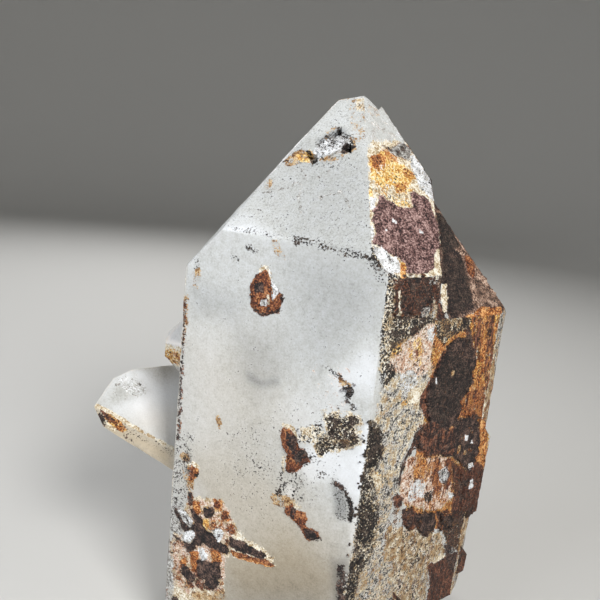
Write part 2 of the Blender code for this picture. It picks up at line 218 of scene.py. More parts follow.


# Stains, with painted light and shade, in painting order: kinds with their levels (1 solid, 0 half covered,
# below 0 scattered specks), width of the ragged border in millimetres, outlines
STAINS = {
    "front": (
        ({"dark": 0.15}, 0.35, (184, 300, 186, 300, 182, 380, 179, 440, 176, 440, 180, 380)),
        ({"rust": -0.1}, 0.4, (183, 300, 187, 300, 184, 380, 180, 440, 176, 440, 180, 380)),
        ({"rust": 1}, 0.4, island("rust_patch")),
        ({"orange": 0.35}, 0.5, (266.4, 268.9, 256, 275.7, 250.3, 285.7, 251, 307, 258, 312, 266, 306, 272,
         301.8, 272, 286.5, 269.8, 277.3)),
        ({"dark": 0.2}, 0.35, (250, 284, 252, 300, 252, 309, 262, 317, 279, 313, 284, 296, 281, 292, 281,
         306, 276, 311, 262, 313, 254, 306)),
        ({"rust": 0.5}, 0.5, (251, 296, 251, 307, 262, 316.3, 279, 312.5, 282.8, 296.4, 279, 291.8, 275.2,
         298.7, 271, 304, 264, 307, 257, 302)),
        ({"orange": 0.4}, 0.6, (272, 302, 279, 293, 282, 297, 279, 309, 272, 312)),
        ({"dark": 1}, 0.4, (254, 282, 264.5, 282, 264.5, 292.6, 256, 292)),
        ({"white": 1}, 0.3, (260, 299, 267, 299, 268, 306, 261, 306)),
        ({"cream": 1}, 0.25, (268, 294, 270.5, 294, 270.5, 305, 268, 305)),
        ({"black": 1}, 0.2, (262.7, 302, 264.7, 302, 264.7, 305, 262.7, 305), (268, 307, 270.5, 307, 270.5,
         309.5, 268, 309.5)),
        ({"white": 1}, 0.35, (271, 268, 274, 283, 281, 290, 279, 292, 275, 298, 272.5, 301, 272.5, 286, 270,
         277, 268, 268)),
        ({"cream": 0.3}, 0.4, (262, 266, 268, 265, 272, 276, 270, 280, 264, 270, 256, 275)),
        ({"tan": 0}, 0.6, (193, 270, 199, 267, 201, 275, 198, 288, 193, 285)),
        ({"black": -0.2}, 0.5, (196, 260, 199, 260, 199, 270, 195, 269)),
        ({"black": -0.15}, 0.5, (245, 246, 251, 244, 259, 250, 258, 253, 250, 250, 246, 250)),
        ({"black": -0.2}, 0.5, (232, 252, 240, 257, 239, 262, 231, 258)),
        ({"tan": -0.3}, 0.7, (248, 221, 257, 221, 257, 226, 249, 227)),
        ({"tan": -0.1}, 0.7, (272, 240, 277, 241, 281, 250, 286, 256, 284, 259, 277, 254, 272, 246)),
        ({"tan": -0.3}, 0.5, (293, 230, 299, 230, 299, 235, 293, 235)),
        ({"tan": 0.2}, 0.5, (216, 416, 219, 415, 222, 424, 220, 429, 217, 425)),
        ({"black": -0.45}, 1, (292, 238, 320, 241, 345, 249, 365, 254, 376, 262, 382, 272, 386, 282, 380,
         282, 372, 268, 358, 260, 335, 252, 315, 247, 295, 243)),
        ({"black": 0.1}, 0.35, (362, 255, 372, 259, 378, 265, 383, 274, 381, 275, 374, 267, 368, 261, 360,
         258)),
        ({"tan": 0.1}, 0.5, (184, 294, 187.5, 294, 187.5, 320, 184, 345, 181, 345)),
        ({"black": -0.35}, 0.6, (180, 330, 184, 330, 181, 400, 178, 450, 175, 450, 177, 400)),
        # Painted light and shade, which also give the quartz's own grey clouds and milky patches: the whole
        # face a little dimmer, lighter patches mostly towards its right-hand edge, the bottom darkest
        ({"painted_light_and_cloud": -0.06}, 8, (180, 200, 400, 200, 400, 640, 160, 640)),
        ({"painted_light_and_cloud": -0.15}, 8, (290, 240, 400, 250, 400, 300, 290, 290)),
        ({"painted_light_and_cloud": -0.25}, 7, (318, 300, 352, 298, 366, 320, 350, 352, 322, 366, 300, 345, 300, 318)),
        ({"painted_light_and_cloud": -0.22}, 8, (290, 265, 340, 262, 375, 285, 372, 310, 340, 312, 300, 300)),
        ({"painted_light_and_cloud": -0.3}, 7, (236, 330, 275, 335, 282, 375, 255, 392, 232, 370)),
        ({"painted_light_and_cloud": -0.3}, 4, (190, 285, 240, 300, 235, 318, 195, 315)),
        ({"painted_light_and_cloud": -0.5}, 1.2, (247, 372, 262, 381, 278, 378, 279, 384, 262, 387, 248, 381)),
        ({"painted_light_and_cloud": 0.55}, 3, (330, 375, 345, 366, 368, 345, 384, 365, 375, 395, 352, 388, 340, 392)),
        ({"painted_light_and_cloud": 0.55}, 2.2, (312, 440, 345, 450, 362, 440, 366, 425, 368, 440, 361, 490, 352, 498, 335,
         480, 312, 482, 300, 470)),
        ({"painted_light_and_cloud": 0.5}, 1.2, (366, 425, 371, 425, 362, 500, 354, 540, 349, 560, 351, 520, 358, 480)),
        ({"painted_light_and_cloud": 0.5}, 1, (285, 486, 293, 485, 294, 497, 286, 498)),
        ({"painted_light_and_cloud": 0.25}, 9, (195, 335, 225, 330, 235, 400, 215, 450, 190, 440)),
        ({"painted_light_and_cloud": 0.35}, 7, (285, 395, 330, 395, 345, 410, 318, 440, 300, 440, 280, 420)),
        ({"warm": 0.35}, 12, (180, 330, 260, 345, 300, 420, 280, 520, 180, 480)),
        ({"warm": 0.55}, 12, (200, 470, 300, 500, 350, 530, 345, 600, 200, 600)),
        ({"warm": 0.6}, 9, (225, 560, 290, 545, 340, 570, 345, 620, 220, 620)),
        ({"painted_light_and_cloud": -0.55}, 12, (225, 572, 290, 556, 345, 572, 345, 640, 220, 640)),
        ({"pinkish": -0.35}, 2, (318, 370, 345, 372, 350, 392, 335, 405, 318, 395)),
        ({"black": 0}, 0.35, (323, 366, 331, 369, 340, 375, 348, 381, 347, 384, 337, 377, 328, 371)),
        ({"black": 0.25}, 0.5, island("black_crust", 4)),
        ({"black": 0}, 0.4, (348, 402, 354, 404, 355, 410, 350, 410)),
        ({"tan": 0.2}, 0.6, (337, 371, 346, 380, 352, 384, 350, 390, 342, 386, 336, 376)),
        ({"rust": 1}, 0.5, island("red_plate_upper")),
        ({"dark": 0.45}, 0.6, (287, 432, 294, 434, 297, 441, 298, 449, 303, 452, 303, 460, 297, 462, 293,
         455, 291, 449, 286, 441)),
        ({"black": 0.1}, 0.5, (300, 450, 306, 450, 309, 459, 308, 465, 301, 464, 297, 456)),
        ({"orange": 0.6}, 0.4, (282, 425, 291, 426, 294, 431, 290, 432, 284, 430, 281, 434)),
        ({"cream": 0.7}, 0.35, (282, 422, 292, 424, 296, 431, 299, 439, 297, 440, 292, 430, 284, 427, 281,
         430)),
        ({"orange": 0.3}, 0.4, (284, 452, 288, 456, 287, 471, 285, 470, 286, 460)),
        ({"cream": 0.3}, 0.4, (282, 452, 285, 456, 284, 472, 282, 468)),
        ({"black": -0.2}, 0.5, (308, 457, 318, 457, 318, 462, 308, 463)),
        ({"black": -0.25}, 0.8, (283, 466, 300, 468, 306, 478, 300, 492, 282, 490, 279, 478)),
        ({"black": 0.2}, 0.4, (275, 488, 280, 488, 283, 495, 277, 497)),
        ({"tan": 0.2}, 0.8, (273, 494, 290, 496, 292, 506, 274, 505, 270, 499)),
        ({"black": -0.1}, 0.5, (292, 494, 304, 496, 303, 501, 293, 500)),
        ({"cream": 0.1}, 0.8, (285, 500, 298, 500, 300, 508, 286, 508)),
        ({"rust": 1}, 0.5, island("red_plate_lower")),
        ({"orange": 0.3}, 0.5, (296, 510, 304, 512, 308, 520, 303, 526, 297, 518)),
        ({"dark": 0.7}, 0.5, (302, 526, 308, 529, 315, 531, 320, 538, 312, 541, 306, 538)),
        ({"dark": 0.3}, 0.3, (292, 506, 296, 510, 295, 518, 290, 517)),
        ({"black": -0.1}, 0.4, (312, 534, 322, 538, 320, 541, 312, 541)),
        ({"cream": 1}, 0.6, (324, 417, 331, 412, 337, 411, 341, 417, 347, 415, 355, 415, 361, 419, 360, 425,
         356, 431, 360, 438, 359, 444, 351, 448, 343, 450, 334, 451, 327, 454, 320, 458, 314, 452, 314, 444,
         318, 437, 328, 435, 326, 427)),
        ({"dark": -0.05}, 0.5, (326, 419, 331, 414, 337, 413, 341, 419, 347, 417, 354, 417, 359, 419, 358,
         425, 354, 431, 358, 438, 357, 443, 351, 446, 343, 448, 334, 449, 327, 452, 320, 456, 316, 452, 316,
         444, 320, 437, 330, 437, 328, 427)),
        ({"cream": 0}, 0.5, (322, 410, 340, 408, 362, 416, 362, 444, 340, 452, 316, 458, 312, 440, 324,
         432)),
        ({"black": 0.12}, 0.5, (326, 419, 331, 414, 337, 413, 341, 419, 347, 417, 354, 417, 359, 419, 358,
         425, 354, 431, 358, 438, 357, 443, 351, 446, 343, 448, 334, 449, 327, 452, 320, 456, 316, 452, 316,
         444, 320, 437, 330, 437, 328, 427)),
        ({"cream": -0.1}, 0.5, (316, 432, 326, 425, 330, 412, 350, 412, 358, 420, 356, 440, 340, 450, 318,
         450)),
        ({"tan": -0.05}, 0.5, (340, 440, 352, 440, 352, 448, 342, 450)),
        ({"cream": 0.2}, 0.6, (300, 428, 316, 425, 326, 430, 318, 440, 308, 446, 300, 440)),
        ({"black": -0.25}, 0.6, (296, 430, 314, 425, 322, 418, 322, 430, 312, 440, 300, 446)),
        ({"black": -0.1}, 0.5, (318, 470, 325, 473, 324, 479, 317, 477)),
        ({"dark": 0.4}, 0.5, (340, 482, 344, 486, 350, 496, 353.5, 508, 353.5, 518, 351, 523, 348, 519, 349,
         505, 345, 495, 338, 487, 331, 484, 333, 480)),
        ({"black": 0.3}, 0.45, (344, 488, 351, 498, 354, 510, 353.5, 518, 351, 523, 349, 518, 349, 505, 346,
         497)),
        ({"painted_light_and_cloud": -0.6}, 1, (332, 482, 342, 488, 347, 500, 348, 518, 340, 520, 334, 514)),
        ({"black": -0.25}, 0.7, (332, 483, 342, 490, 347, 502, 348, 519, 335, 518, 338, 505)),
        ({"dark": 0.3}, 0.6, (338, 565, 345, 566, 346, 600, 338, 612, 336, 590)),
        ({"painted_light_and_cloud": -0.5}, 1.5, (332, 560, 347, 560, 348, 610, 334, 610)),
        ({"black": -0.45}, 0.7, (252, 425, 258, 425, 258, 478, 254, 478)),
        ({"black": -0.4}, 0.9, (236, 468, 243, 455, 248, 456, 244, 474, 238, 477), (254, 466, 272, 462, 272,
         470, 256, 476)),
        ({"black": -0.62}, 3, (225, 440, 330, 400, 330, 470, 280, 520, 240, 500)),
        ({"black": -0.78}, 6, (190, 300, 370, 280, 360, 440, 200, 460)),
        ({"tan": 0.5}, 0.5, (184, 452, 190, 454, 191, 463, 186, 463, 180, 459, 180, 455)),
        ({"dark": 0.1}, 0.5, (183, 456, 190, 456, 190, 462, 184, 463)),
        ({"black": -0.2}, 0.5, (184, 440, 188, 440, 188, 456, 184, 456)),
        ({"orange": 1}, 0.4, island("star_bead")),
        ({"rust": 0.5}, 0.4, (190, 466, 196, 467, 196, 477, 192, 480, 190, 474)),
        ({"cream": 0.8}, 0.3, (186, 463, 192, 461, 199, 464, 200, 470, 198, 468, 192, 464, 188, 467)),
        ({"black": 1}, 0.2, (195, 473, 198.5, 473, 198.5, 477, 195, 477)),
        ({"black": 0}, 0.4, (189, 493, 193, 495, 193, 504, 190, 506, 188, 500)),
        ({"grey": -0.15}, 1.2, (186, 430, 192, 440, 190, 470, 186, 500, 192, 500, 180, 520, 178, 540, 165,
         560, 165, 500, 176, 440)),
        ({"black": -0.38}, 0.8, (186, 430, 192, 440, 190, 470, 186, 500, 190, 506, 176, 540, 165, 540, 165,
         500, 176, 440)),
        ({"cream": 0.55}, 1, (188, 500, 205, 497, 214, 499, 222, 500, 230, 515, 237, 530, 251, 543, 266, 550,
         273, 558, 275, 566, 262, 565, 246, 560, 232, 555, 224, 558, 222, 572, 224, 590, 214, 597, 190, 600,
         172, 600, 170, 545, 180, 520, 186, 508)),
        ({"pinkish": 0.1}, 0.8, (188, 500, 222, 500, 230, 515, 237, 530, 226, 560, 222, 590, 190, 595, 170,
         580, 170, 545, 180, 520)),
        ({"tan": -0.15}, 0.6, (188, 500, 222, 500, 230, 515, 237, 530, 226, 560, 222, 590, 190, 595, 170,
         580, 170, 545, 180, 520)),
        ({"rust": -0.2}, 0.6, (196, 515, 222, 518, 232, 535, 226, 560, 222, 590, 190, 592, 170, 580, 168,
         545, 180, 540, 196, 545)),
        ({"redbrown": -0.3}, 0.5, (168, 540, 186, 542, 190, 580, 200, 590, 176, 590, 168, 570)),
        ({"orange": 0.9}, 0.4, island("star_crust", 5)),
        ({"tan": 0.5}, 0.4, (194, 503, 199, 504, 199, 512, 195, 512)),
        ({"rust": 0.8}, 0.35, (215, 501, 220, 501, 221, 507, 217, 509, 214, 505)),
        ({"orange": 0.3}, 0.35, (213, 499, 222, 499, 223, 509, 216, 511)),
        ({"rust": 0.5}, 0.4, (221, 511, 226, 511, 230, 518, 226, 520, 222, 518)),
        ({"orange": 0.2}, 0.5, (219, 509, 229, 512, 232, 520, 224, 522)),
        ({"rust": 0.2}, 0.5, (226, 521, 233, 525, 237, 535, 231, 537, 227, 530)),
        ({"ochre": 0.8}, 0.35, island("star_crust", 10)),
        ({"orange": 0}, 0.5, (204, 519, 222, 520, 224, 530, 208, 530)),
        ({"orange": 0.6}, 0.5, island("star_crust", 8)),
        ({"pinkish": 0.3}, 0.4, (191, 560, 199, 562, 199, 572, 192, 572)),
        ({"orange": 0.5}, 0.5, island("star_crust", 9)),
        ({"ochre": 0.2}, 0.4, (213, 552, 219, 552, 220, 561, 215, 564)),
        ({"orange": 0.5}, 0.4, (180, 560, 186, 556, 188, 562, 184, 570, 180, 568)),
        ({"grey": 1}, 0.4, (179, 509, 187, 512, 192, 520, 193, 527, 188, 528, 183, 522), (182, 533, 188, 530,
         194, 529, 195, 536, 192, 542, 186, 544, 182, 540), (214, 530, 220, 528, 224, 533, 221, 541, 214,
         541, 211, 536)),
        ({"grey": 0}, 0.4, (211, 530, 219, 529, 222, 535, 214, 541)),
        ({"white": 0.5}, 0.5, (197, 547, 203, 548, 208, 555, 207, 561, 201, 560)),
        ({"grey": 0.3}, 0.8, (165, 505, 178, 507, 186, 528, 180, 536, 168, 530)),
        ({"dark": 0.95}, 0.35, island("star_crust", 4)),
        ({"white": -0.15}, 0.4, (179, 509, 187, 512, 192, 520, 193, 527, 188, 528, 183, 522)),
        ({"white": 0.2}, 0.4, (184, 532, 194, 529, 195, 536, 190, 542, 185, 541)),
        ({"white": 0}, 0.4, (214, 530, 220, 528, 224, 533, 221, 541, 214, 541, 211, 536)),
        ({"black": 0.3}, 0.2, (182, 513, 184, 513, 190, 523, 188, 524), (178, 520, 180, 519, 186, 529, 184,
         530)),
        ({"dark": 1}, 0.4, island("star_crust")),
        ({"redbrown": 0}, 0.6, (190, 506, 203, 518, 203, 526, 218, 541, 230, 551, 220, 552, 201, 546, 189,
         552, 183, 541, 196, 532, 181, 528, 174, 506, 192, 515)),
        ({"black": 0.5}, 0.3, (216, 534, 221, 534, 221, 537, 216, 537)),
        ({"dark": 0.95}, 0.4, (229, 537, 236, 538, 243, 541, 250, 545, 257, 549, 264, 551, 267, 555, 263,
         559, 256, 557, 248, 554, 240, 551, 233, 548, 229, 545)),
        ({"redbrown": 0.3}, 0.4, (230, 538, 243, 541, 257, 549, 267, 555, 262, 559, 248, 554, 233, 548)),
        ({"cream": 0.7}, 0.25, (229, 533, 237, 535, 245, 538, 252, 543, 262, 547, 268, 552, 271, 559, 268,
         557, 262, 550, 252, 546, 243, 541, 234, 538)),
        ({"orange": 0.5}, 0.35, (230, 549, 240, 552, 249, 555, 258, 558, 266, 558, 272, 563, 275, 568, 270,
         568, 262, 564, 250, 562, 240, 560, 233, 556)),
        ({"rust": 0.3}, 0.4, (230, 549, 240, 552, 249, 555, 258, 558, 266, 558, 272, 563, 274, 567, 262, 562,
         250, 560, 240, 557)),
        ({"dark": 0.9}, 0.4, (198, 560, 206, 559, 213, 563, 217, 568, 216, 575, 220, 581, 218, 588, 212, 588,
         206, 585, 205, 579, 200, 577, 197, 570)),
        ({"dark": 0.4}, 0.4, (213, 560, 220, 562, 221, 580, 216, 578)),
        ({"dark": 0.8}, 0.4, (182, 562, 187, 566, 190, 572, 196, 574, 196, 580, 192, 583, 186, 579, 182,
         574)),
        ({"redbrown": 0.2}, 0.5, (186, 572, 200, 570, 206, 584, 216, 588, 214, 592, 198, 590, 188, 584)),
        ({"dark": 0.2}, 0.35, (172, 535, 180, 537, 181, 541, 175, 540)),
        ({"dark": 0.7}, 0.3, (188, 492, 192, 493, 192, 505, 189, 504)),
        ({"rust": 0.3}, 0.35, (187, 492, 193, 492, 193, 506, 188, 506)),
        ({"tan": 0.2}, 0.5, (182, 466, 193, 474, 194, 500, 188, 500)),
        ({"grey": 0.2}, 0.7, (164, 556, 173, 556, 174, 602, 164, 602)),
        ({"rust": 0}, 0.4, (164, 583, 169, 585, 169, 602, 164, 602)),
        ({"dark": 0.4}, 0.35, (172, 596, 178, 598, 179, 604, 171, 604)),
        ({"warm": 0.5}, 2, (166, 588, 224, 590, 226, 612, 166, 612)),
        ({"cream": 0.9}, 0.6, (190, 588, 212, 590, 216, 600, 188, 602)),
        ({"tan": 0}, 0.5, (190, 592, 224, 590, 226, 600, 190, 604)),
        ({"black": -0.34}, 0.5, (187, 296, 183, 330, 180, 400, 176, 450, 174, 490, 168, 530, 163, 530, 168,
         500, 172, 450, 176, 400, 181, 320, 184, 296)),
        ({"black": 0.3}, 0.3, (294, 236, 298, 240, 308, 238, 309, 243, 301, 243, 297, 247, 294, 243)),
        ({"black": 0}, 0.3, (316, 243, 325, 244, 337, 248, 337, 251, 326, 249, 316, 246)),
        ({"black": -0.1}, 0.35, (340, 250, 356, 252, 372, 256, 372, 260, 356, 257, 340, 253)),
        ({"black": 0.5}, 0.3, (370, 256, 380, 261, 388, 269, 393, 277, 389, 278, 383, 269, 376, 262, 370,
         259)),
    ),
    "upper_front": (
        # Painted light and shade, which also give the quartz's own clouds: lighter at the left end and near
        # the tip, dimmer over the rest
        ({"painted_light_and_cloud": 0.45}, 8, (196, 258, 245, 215, 262, 232, 232, 246, 215, 262)),
        ({"painted_light_and_cloud": 0.2}, 7, (310, 120, 345, 98, 372, 120, 372, 150, 330, 150)),
        ({"painted_light_and_cloud": -0.15}, 8, (300, 150, 370, 160, 372, 250, 300, 235)),
        ({"painted_light_and_cloud": -0.12}, 3, (190, 255, 350, 85, 380, 85, 380, 270, 300, 245, 190, 228)),
        ({"black": 1}, 0.25, (341, 153, 345, 145, 349, 144, 356, 147, 350, 149, 344, 152)),
        ({"dark": 0.5}, 0.3, (340, 152, 346, 144, 357, 146, 350, 151, 343, 154)),
        ({"black": 0.9}, 0.3, (349, 138, 353, 141, 354, 145, 350, 143)),
        ({"tan": 0.5}, 0.3, (346, 137, 352, 138, 356, 143, 355, 147, 357, 150, 350, 152, 344, 155, 341, 154,
         348, 150, 355, 147, 352, 141)),
        ({"black": 1}, 0.25, (306, 150, 310, 150, 312, 156, 316, 156, 318, 160, 315, 164, 312, 162, 309,
         156)),
        ({"black": 0.9}, 0.25, (338, 126, 341, 130, 342, 133, 339, 137, 336, 141, 335, 137, 337, 132)),
        ({"tan": 0.3}, 0.5, (282, 160, 292, 154, 302, 150, 312, 152, 310, 160, 300, 163, 286, 167)),
        ({"ochre": 0.1}, 0.4, (296, 154, 310, 150, 314, 156, 312, 163, 300, 162)),
        ({"dark": 0.6}, 0.3, (281, 160, 289, 159.5, 289, 162, 281, 162.5)),
        ({"tan": 0}, 0.4, (318, 159, 330, 161, 345, 154, 352, 150, 353, 152, 340, 159, 330, 164, 318, 162)),
        ({"tan": 0.1}, 0.4, (322, 158, 333, 156, 340, 149, 341, 152, 334, 160, 322, 161)),
        ({"tan": 0}, 0.35, (326, 130, 336, 126, 337, 128, 328, 133, 327, 140, 325, 138)),
        ({"white": 0.3}, 0.6, (314, 152, 322, 142, 336, 136, 346, 138, 350, 143, 342, 150, 330, 156, 318,
         157)),
        ({"grey": 0.5}, 0.5, (314, 152, 322, 142, 336, 136, 346, 138, 350, 143, 342, 150, 330, 156, 318,
         157)),
        ({"painted_light_and_cloud": -0.6}, 0.8, (318, 140, 336, 128, 345, 128, 350, 138, 338, 148, 322, 152)),
        ({"black": -0.1}, 0.5, (316, 142, 336, 130, 350, 136, 340, 150, 322, 156)),
        ({"tan": -0.1}, 0.6, (264, 182, 272, 179, 273, 184, 266, 189)),
        ({"tan": -0.2}, 0.4, (347, 100, 353, 101, 352, 105, 347, 105)),
        ({"cream": 0.2}, 0.6, (354, 98, 368, 98, 374, 108, 370, 114, 358, 110)),
        ({"tan": -0.2}, 0.5, (356, 100, 366, 100, 372, 107, 370, 112, 360, 108)),
        ({"dark": -0.2}, 0.4, (358, 103, 368, 106, 369, 110, 360, 108)),
        ({"tan": -0.1}, 0.5, (349, 117, 357, 118, 357, 123, 350, 123)),
        ({"tan": -0.2}, 0.5, (352, 128, 362, 128, 362, 136, 353, 135)),
        ({"black": 0.3}, 0.3, (294, 236, 298, 240, 308, 238, 309, 243, 301, 243, 297, 247, 294, 243)),
        ({"black": 0}, 0.3, (316, 243, 325, 244, 337, 248, 337, 251, 326, 249, 316, 246)),
        ({"black": -0.1}, 0.35, (340, 250, 356, 252, 372, 256, 372, 260, 356, 257, 340, 253)),
        ({"black": -0.1}, 0.4, (294, 236, 304, 238, 314, 241, 312, 244, 302, 242, 294, 240)),
        ({"black": -0.25}, 0.6, (233, 228, 245, 229, 265, 232, 295, 238, 330, 244, 360, 251, 358, 256, 328,
         249, 290, 242, 262, 236, 234, 231)),
        ({"black": -0.66}, 2, (180, 255, 345, 90, 376, 90, 385, 270, 300, 245)),
        ({"black": -0.5}, 1.2, (296, 150, 320, 140, 352, 136, 358, 160, 330, 168, 300, 166)),
        ({"dark": -0.25}, 0.5, (258, 205, 262, 205, 262, 211, 258, 211)),
        ({"tan": -0.3}, 1, (350, 100, 374, 104, 374, 140, 352, 140)),
        # A painted highlight along the edge with the front face
        ({"painted_light_and_cloud": 0.12}, 2.5, (222, 226, 246, 219, 262, 226, 250, 236, 224, 238)),
        ({"painted_light_and_cloud": 0.35}, 1, (222, 228, 250, 226, 290, 238, 290, 241, 250, 231, 224, 234)),
        ({"grey": -0.1}, 0.5, (262, 190, 300, 182, 330, 170, 331, 172, 302, 186, 264, 193)),
        ({"grey": -0.05}, 0.5, (300, 160, 306, 176, 300, 196, 302, 214, 299, 214, 297, 196, 303, 176, 297,
         160)),
        ({"grey": -0.1}, 0.5, (318, 196, 340, 190, 352, 206, 350, 208, 340, 193, 320, 199)),
    ),
    "upper_right": (
        ({"cream": 0.6, "tan": 0.3, "redbrown": 0.1, "dark": -0.2, "black": -0.3}, 1, (428, 170, 440, 180,
         560, 240, 560, 400, 436, 300, 436, 240)),
        ({"painted_light_and_cloud": 0}, 2, (360, 90, 378, 100, 400, 128, 446, 200, 446, 280, 360, 280)),
        ({"white": -0.3}, 1, (364, 96, 378, 106, 398, 130, 410, 150, 396, 142, 384, 146, 376, 146, 370, 152,
         366, 120)),
        ({"tan": -0.1}, 0.5, (368, 104, 378, 110, 380, 116, 372, 116, 368, 112)),
        ({"tan": -0.3}, 0.8, (372, 118, 392, 126, 396, 138, 374, 140)),
        ({"cream": 0.9}, 0.8, (368, 150, 372, 142, 396, 140, 412, 146, 424, 172, 433, 190, 436, 204, 443,
         240, 443, 277, 410, 277, 392, 276, 374, 262, 370, 240)),
        ({"white": 0.55}, 0.8, (410, 150, 420, 164, 432, 182, 436, 204, 430, 198, 420, 188, 416, 178, 410,
         165)),
        ({"black": -0.3}, 0.5, (408, 152, 420, 162, 432, 184, 434, 200, 420, 188, 414, 176)),
        ({"ochre": 1}, 0.5, island("ochre_crust")),
        ({"orange": 0.5}, 0.7, (370, 156, 378, 154, 385, 156, 384, 167, 376, 170, 371, 168)),
        ({"orange": 0.15}, 0.9, (403, 170, 413, 172, 414, 178, 405, 178), (395, 185, 406, 184, 405, 193, 396,
         193)),
        ({"orange": 0.2}, 0.9, (382, 149, 392, 149, 397, 157, 396, 163, 388, 160)),
        ({"rust": 0}, 0.7, (372, 157, 380, 157, 380, 165, 373, 165)),
        ({"white": -0.35}, 0.8, (371, 168, 392, 166, 398, 178, 390, 185, 374, 184)),
        ({"black": -0.45}, 0.6, (376, 170, 392, 166, 400, 176, 394, 184, 382, 186, 376, 180)),
        ({"grey": 0.9, "rust": 0.1}, 0.6, island("ochre_crust", 1)),
        ({"dark": -0.05}, 0.5, (384, 147, 395, 147, 403, 143, 409, 148, 408, 158, 398, 156)),
        ({"ochre": -0.05}, 0.7, (370, 186, 396, 188, 412, 190, 410, 206, 398, 206, 386, 198, 376, 196, 370,
         206)),
        ({"black": -0.35}, 0.6, (370, 188, 400, 190, 410, 205, 396, 206, 380, 196)),
        ({"purple": 1}, 0.45, island("hematite_plate")),
        # Painted glints: tiny white highlights on the hematite plate
        ({"white": 1}, 0.2, (391, 219, 395, 222, 396, 225, 391, 223)),
        ({"white": 1}, 0.15, (384, 230, 386, 230, 386, 232, 384, 232), (418, 231, 422, 233, 422, 235, 418,
         234)),
        ({"white": 0.9}, 0.5, (374, 246, 380, 247, 386, 251, 392, 257, 399, 259, 401, 266, 400, 272, 392,
         275, 386, 272, 381, 266, 377, 258, 373, 250)),
        ({"white": 0.8}, 0.4, (370, 225, 374, 226, 374, 236, 371, 241)),
        ({"white": 0.6}, 0.4, (370, 197, 377, 198, 374, 206, 371, 212)),
        ({"black": 0.1}, 0.35, (369, 242, 375, 252, 379, 262, 385, 270, 393, 275, 400, 276, 400, 279, 390,
         278, 382, 272, 375, 262, 368, 248)),
        ({"black": -0.45}, 0.5, (374, 246, 386, 251, 400, 260, 398, 272, 386, 270)),
        ({"ochre": 0.7}, 0.35, (400, 262, 404, 264, 406, 273, 405, 280, 401, 278, 400, 270)),
        ({"orange": 0.1}, 0.4, (400, 262, 405, 265, 406, 278, 402, 280)),
        ({"cream": 1}, 0.4, (435, 250, 441, 250, 442, 276, 436, 276, 434, 262)),
        ({"cream": 0.8}, 0.3, (431, 203, 436, 208, 438, 222, 435, 218, 432, 210)),
    ),
    "second_upper": (
        ({"redbrown": 0.8, "dark": 0.1, "cream": 0}, 0.9, (360, 150, 440, 150, 446, 320, 340, 330)),
        ({"redbrown": 0.2, "purple": 0.5, "charcoal": 0.9, "orange": -0.5}, 0.8, (430, 204, 445, 217, 457,
         237, 484, 276, 503, 303, 507, 311, 501, 314, 474, 314, 449, 319, 443, 290, 441, 262, 441, 236)),
        ({"dark": 0.8}, 0.9, (443, 252, 452, 248, 461, 258, 464, 276, 470, 296, 474, 310, 452, 319, 443, 300,
         441, 270)),
        ({"black": 0}, 0.8, (443, 256, 462, 262, 470, 290, 470, 306, 448, 316, 443, 290)),
        ({"black": 0.3, "dark": 0.3, "cream": 0.1}, 0.6, (436, 212, 446, 220, 454, 236, 458, 246, 444, 256,
         441, 246)),
        ({"orange": 1, "ochre": 0.2}, 0.5, (463, 256, 469, 256, 474, 264, 474, 274, 472, 280, 468, 276, 465,
         268)),
        ({"rust": 0.5, "orange": 0}, 0.8, (456, 244, 464, 246, 472, 256, 478, 268, 474, 284, 466, 272, 458,
         254)),
        ({"orange": 0.5, "redbrown": -0.15, "tan": 0.1, "cream": 0.1}, 0.9, (472, 262, 488, 284, 504, 306,
         500, 312, 484, 308, 476, 292)),
        ({"orange": 0.8, "cream": 0.3}, 0.5, (458, 318, 474, 312, 480, 306, 490, 308, 500, 306, 503, 314,
         474, 318)),
        ({"cream": 0.9}, 0.35, (441, 284, 446, 284, 448, 300, 447, 312, 443, 312, 441, 300)),
        ({"black": -0.25}, 0.8, (474, 280, 504, 306, 500, 312, 480, 308)),
    ),
    "side_top": (
        # Painted light and shade on the side crystal's top; the broad lift on its right stands against the
        # shadow that the main crystal casts there
        ({"painted_light_and_cloud": 0.45}, 3, (98, 396, 112, 378, 140, 368, 155, 367, 150, 380, 120, 385)),
        ({"painted_light_and_cloud": 0.75}, 6, (130, 385, 185, 370, 185, 450, 150, 430, 120, 410)),
        ({"painted_light_and_cloud": -0.5}, 3, (116, 384, 136, 380, 146, 392, 130, 400, 114, 398)),
        ({"painted_light_and_cloud": -0.3}, 2, (140, 368, 172, 366, 176, 376, 150, 378)),
        ({"white": -0.05}, 0.7, (118, 378, 136, 374, 146, 388, 142, 398, 126, 392)),
        ({"grey": -0.15}, 0.8, (116, 384, 136, 380, 146, 392, 130, 400, 114, 398)),
        ({"warm": 0.35}, 5, (126, 424, 150, 437, 175, 450, 178, 410, 150, 405)),
        ({"tan": -0.3}, 0.35, (95, 405, 112, 413, 128, 424, 150, 437, 172, 449, 172, 452, 150, 440, 126, 427,
         110, 417, 94, 408)),
        ({"cream": 0.5}, 0.35, (93, 402, 112, 411, 128, 421, 150, 434, 174, 447, 174, 453, 150, 438, 126,
         426, 110, 416, 94, 407)),
    ),
    "side_low": (
        ({"warm": 0.45}, 1.5, (90, 400, 130, 424, 176, 450, 176, 476, 130, 448, 96, 430)),
        ({"painted_light_and_cloud": 0.25, "warm": 0.55}, 3, (90, 400, 130, 424, 176, 450, 176, 476, 130, 448, 96, 430)),
        ({"ochre": 0.9, "orange": 0.1}, 0.6, (102, 411, 112, 414, 120, 421, 126, 429, 123, 433, 114, 427,
         105, 418)),
        ({"rust": -0.3}, 0.5, (102, 411, 112, 414, 120, 421, 126, 429, 123, 433, 114, 427, 105, 418)),
        ({"redbrown": 0.4}, 0.3, (100, 409, 108, 414, 116, 421, 113, 422, 106, 418, 101, 413)),
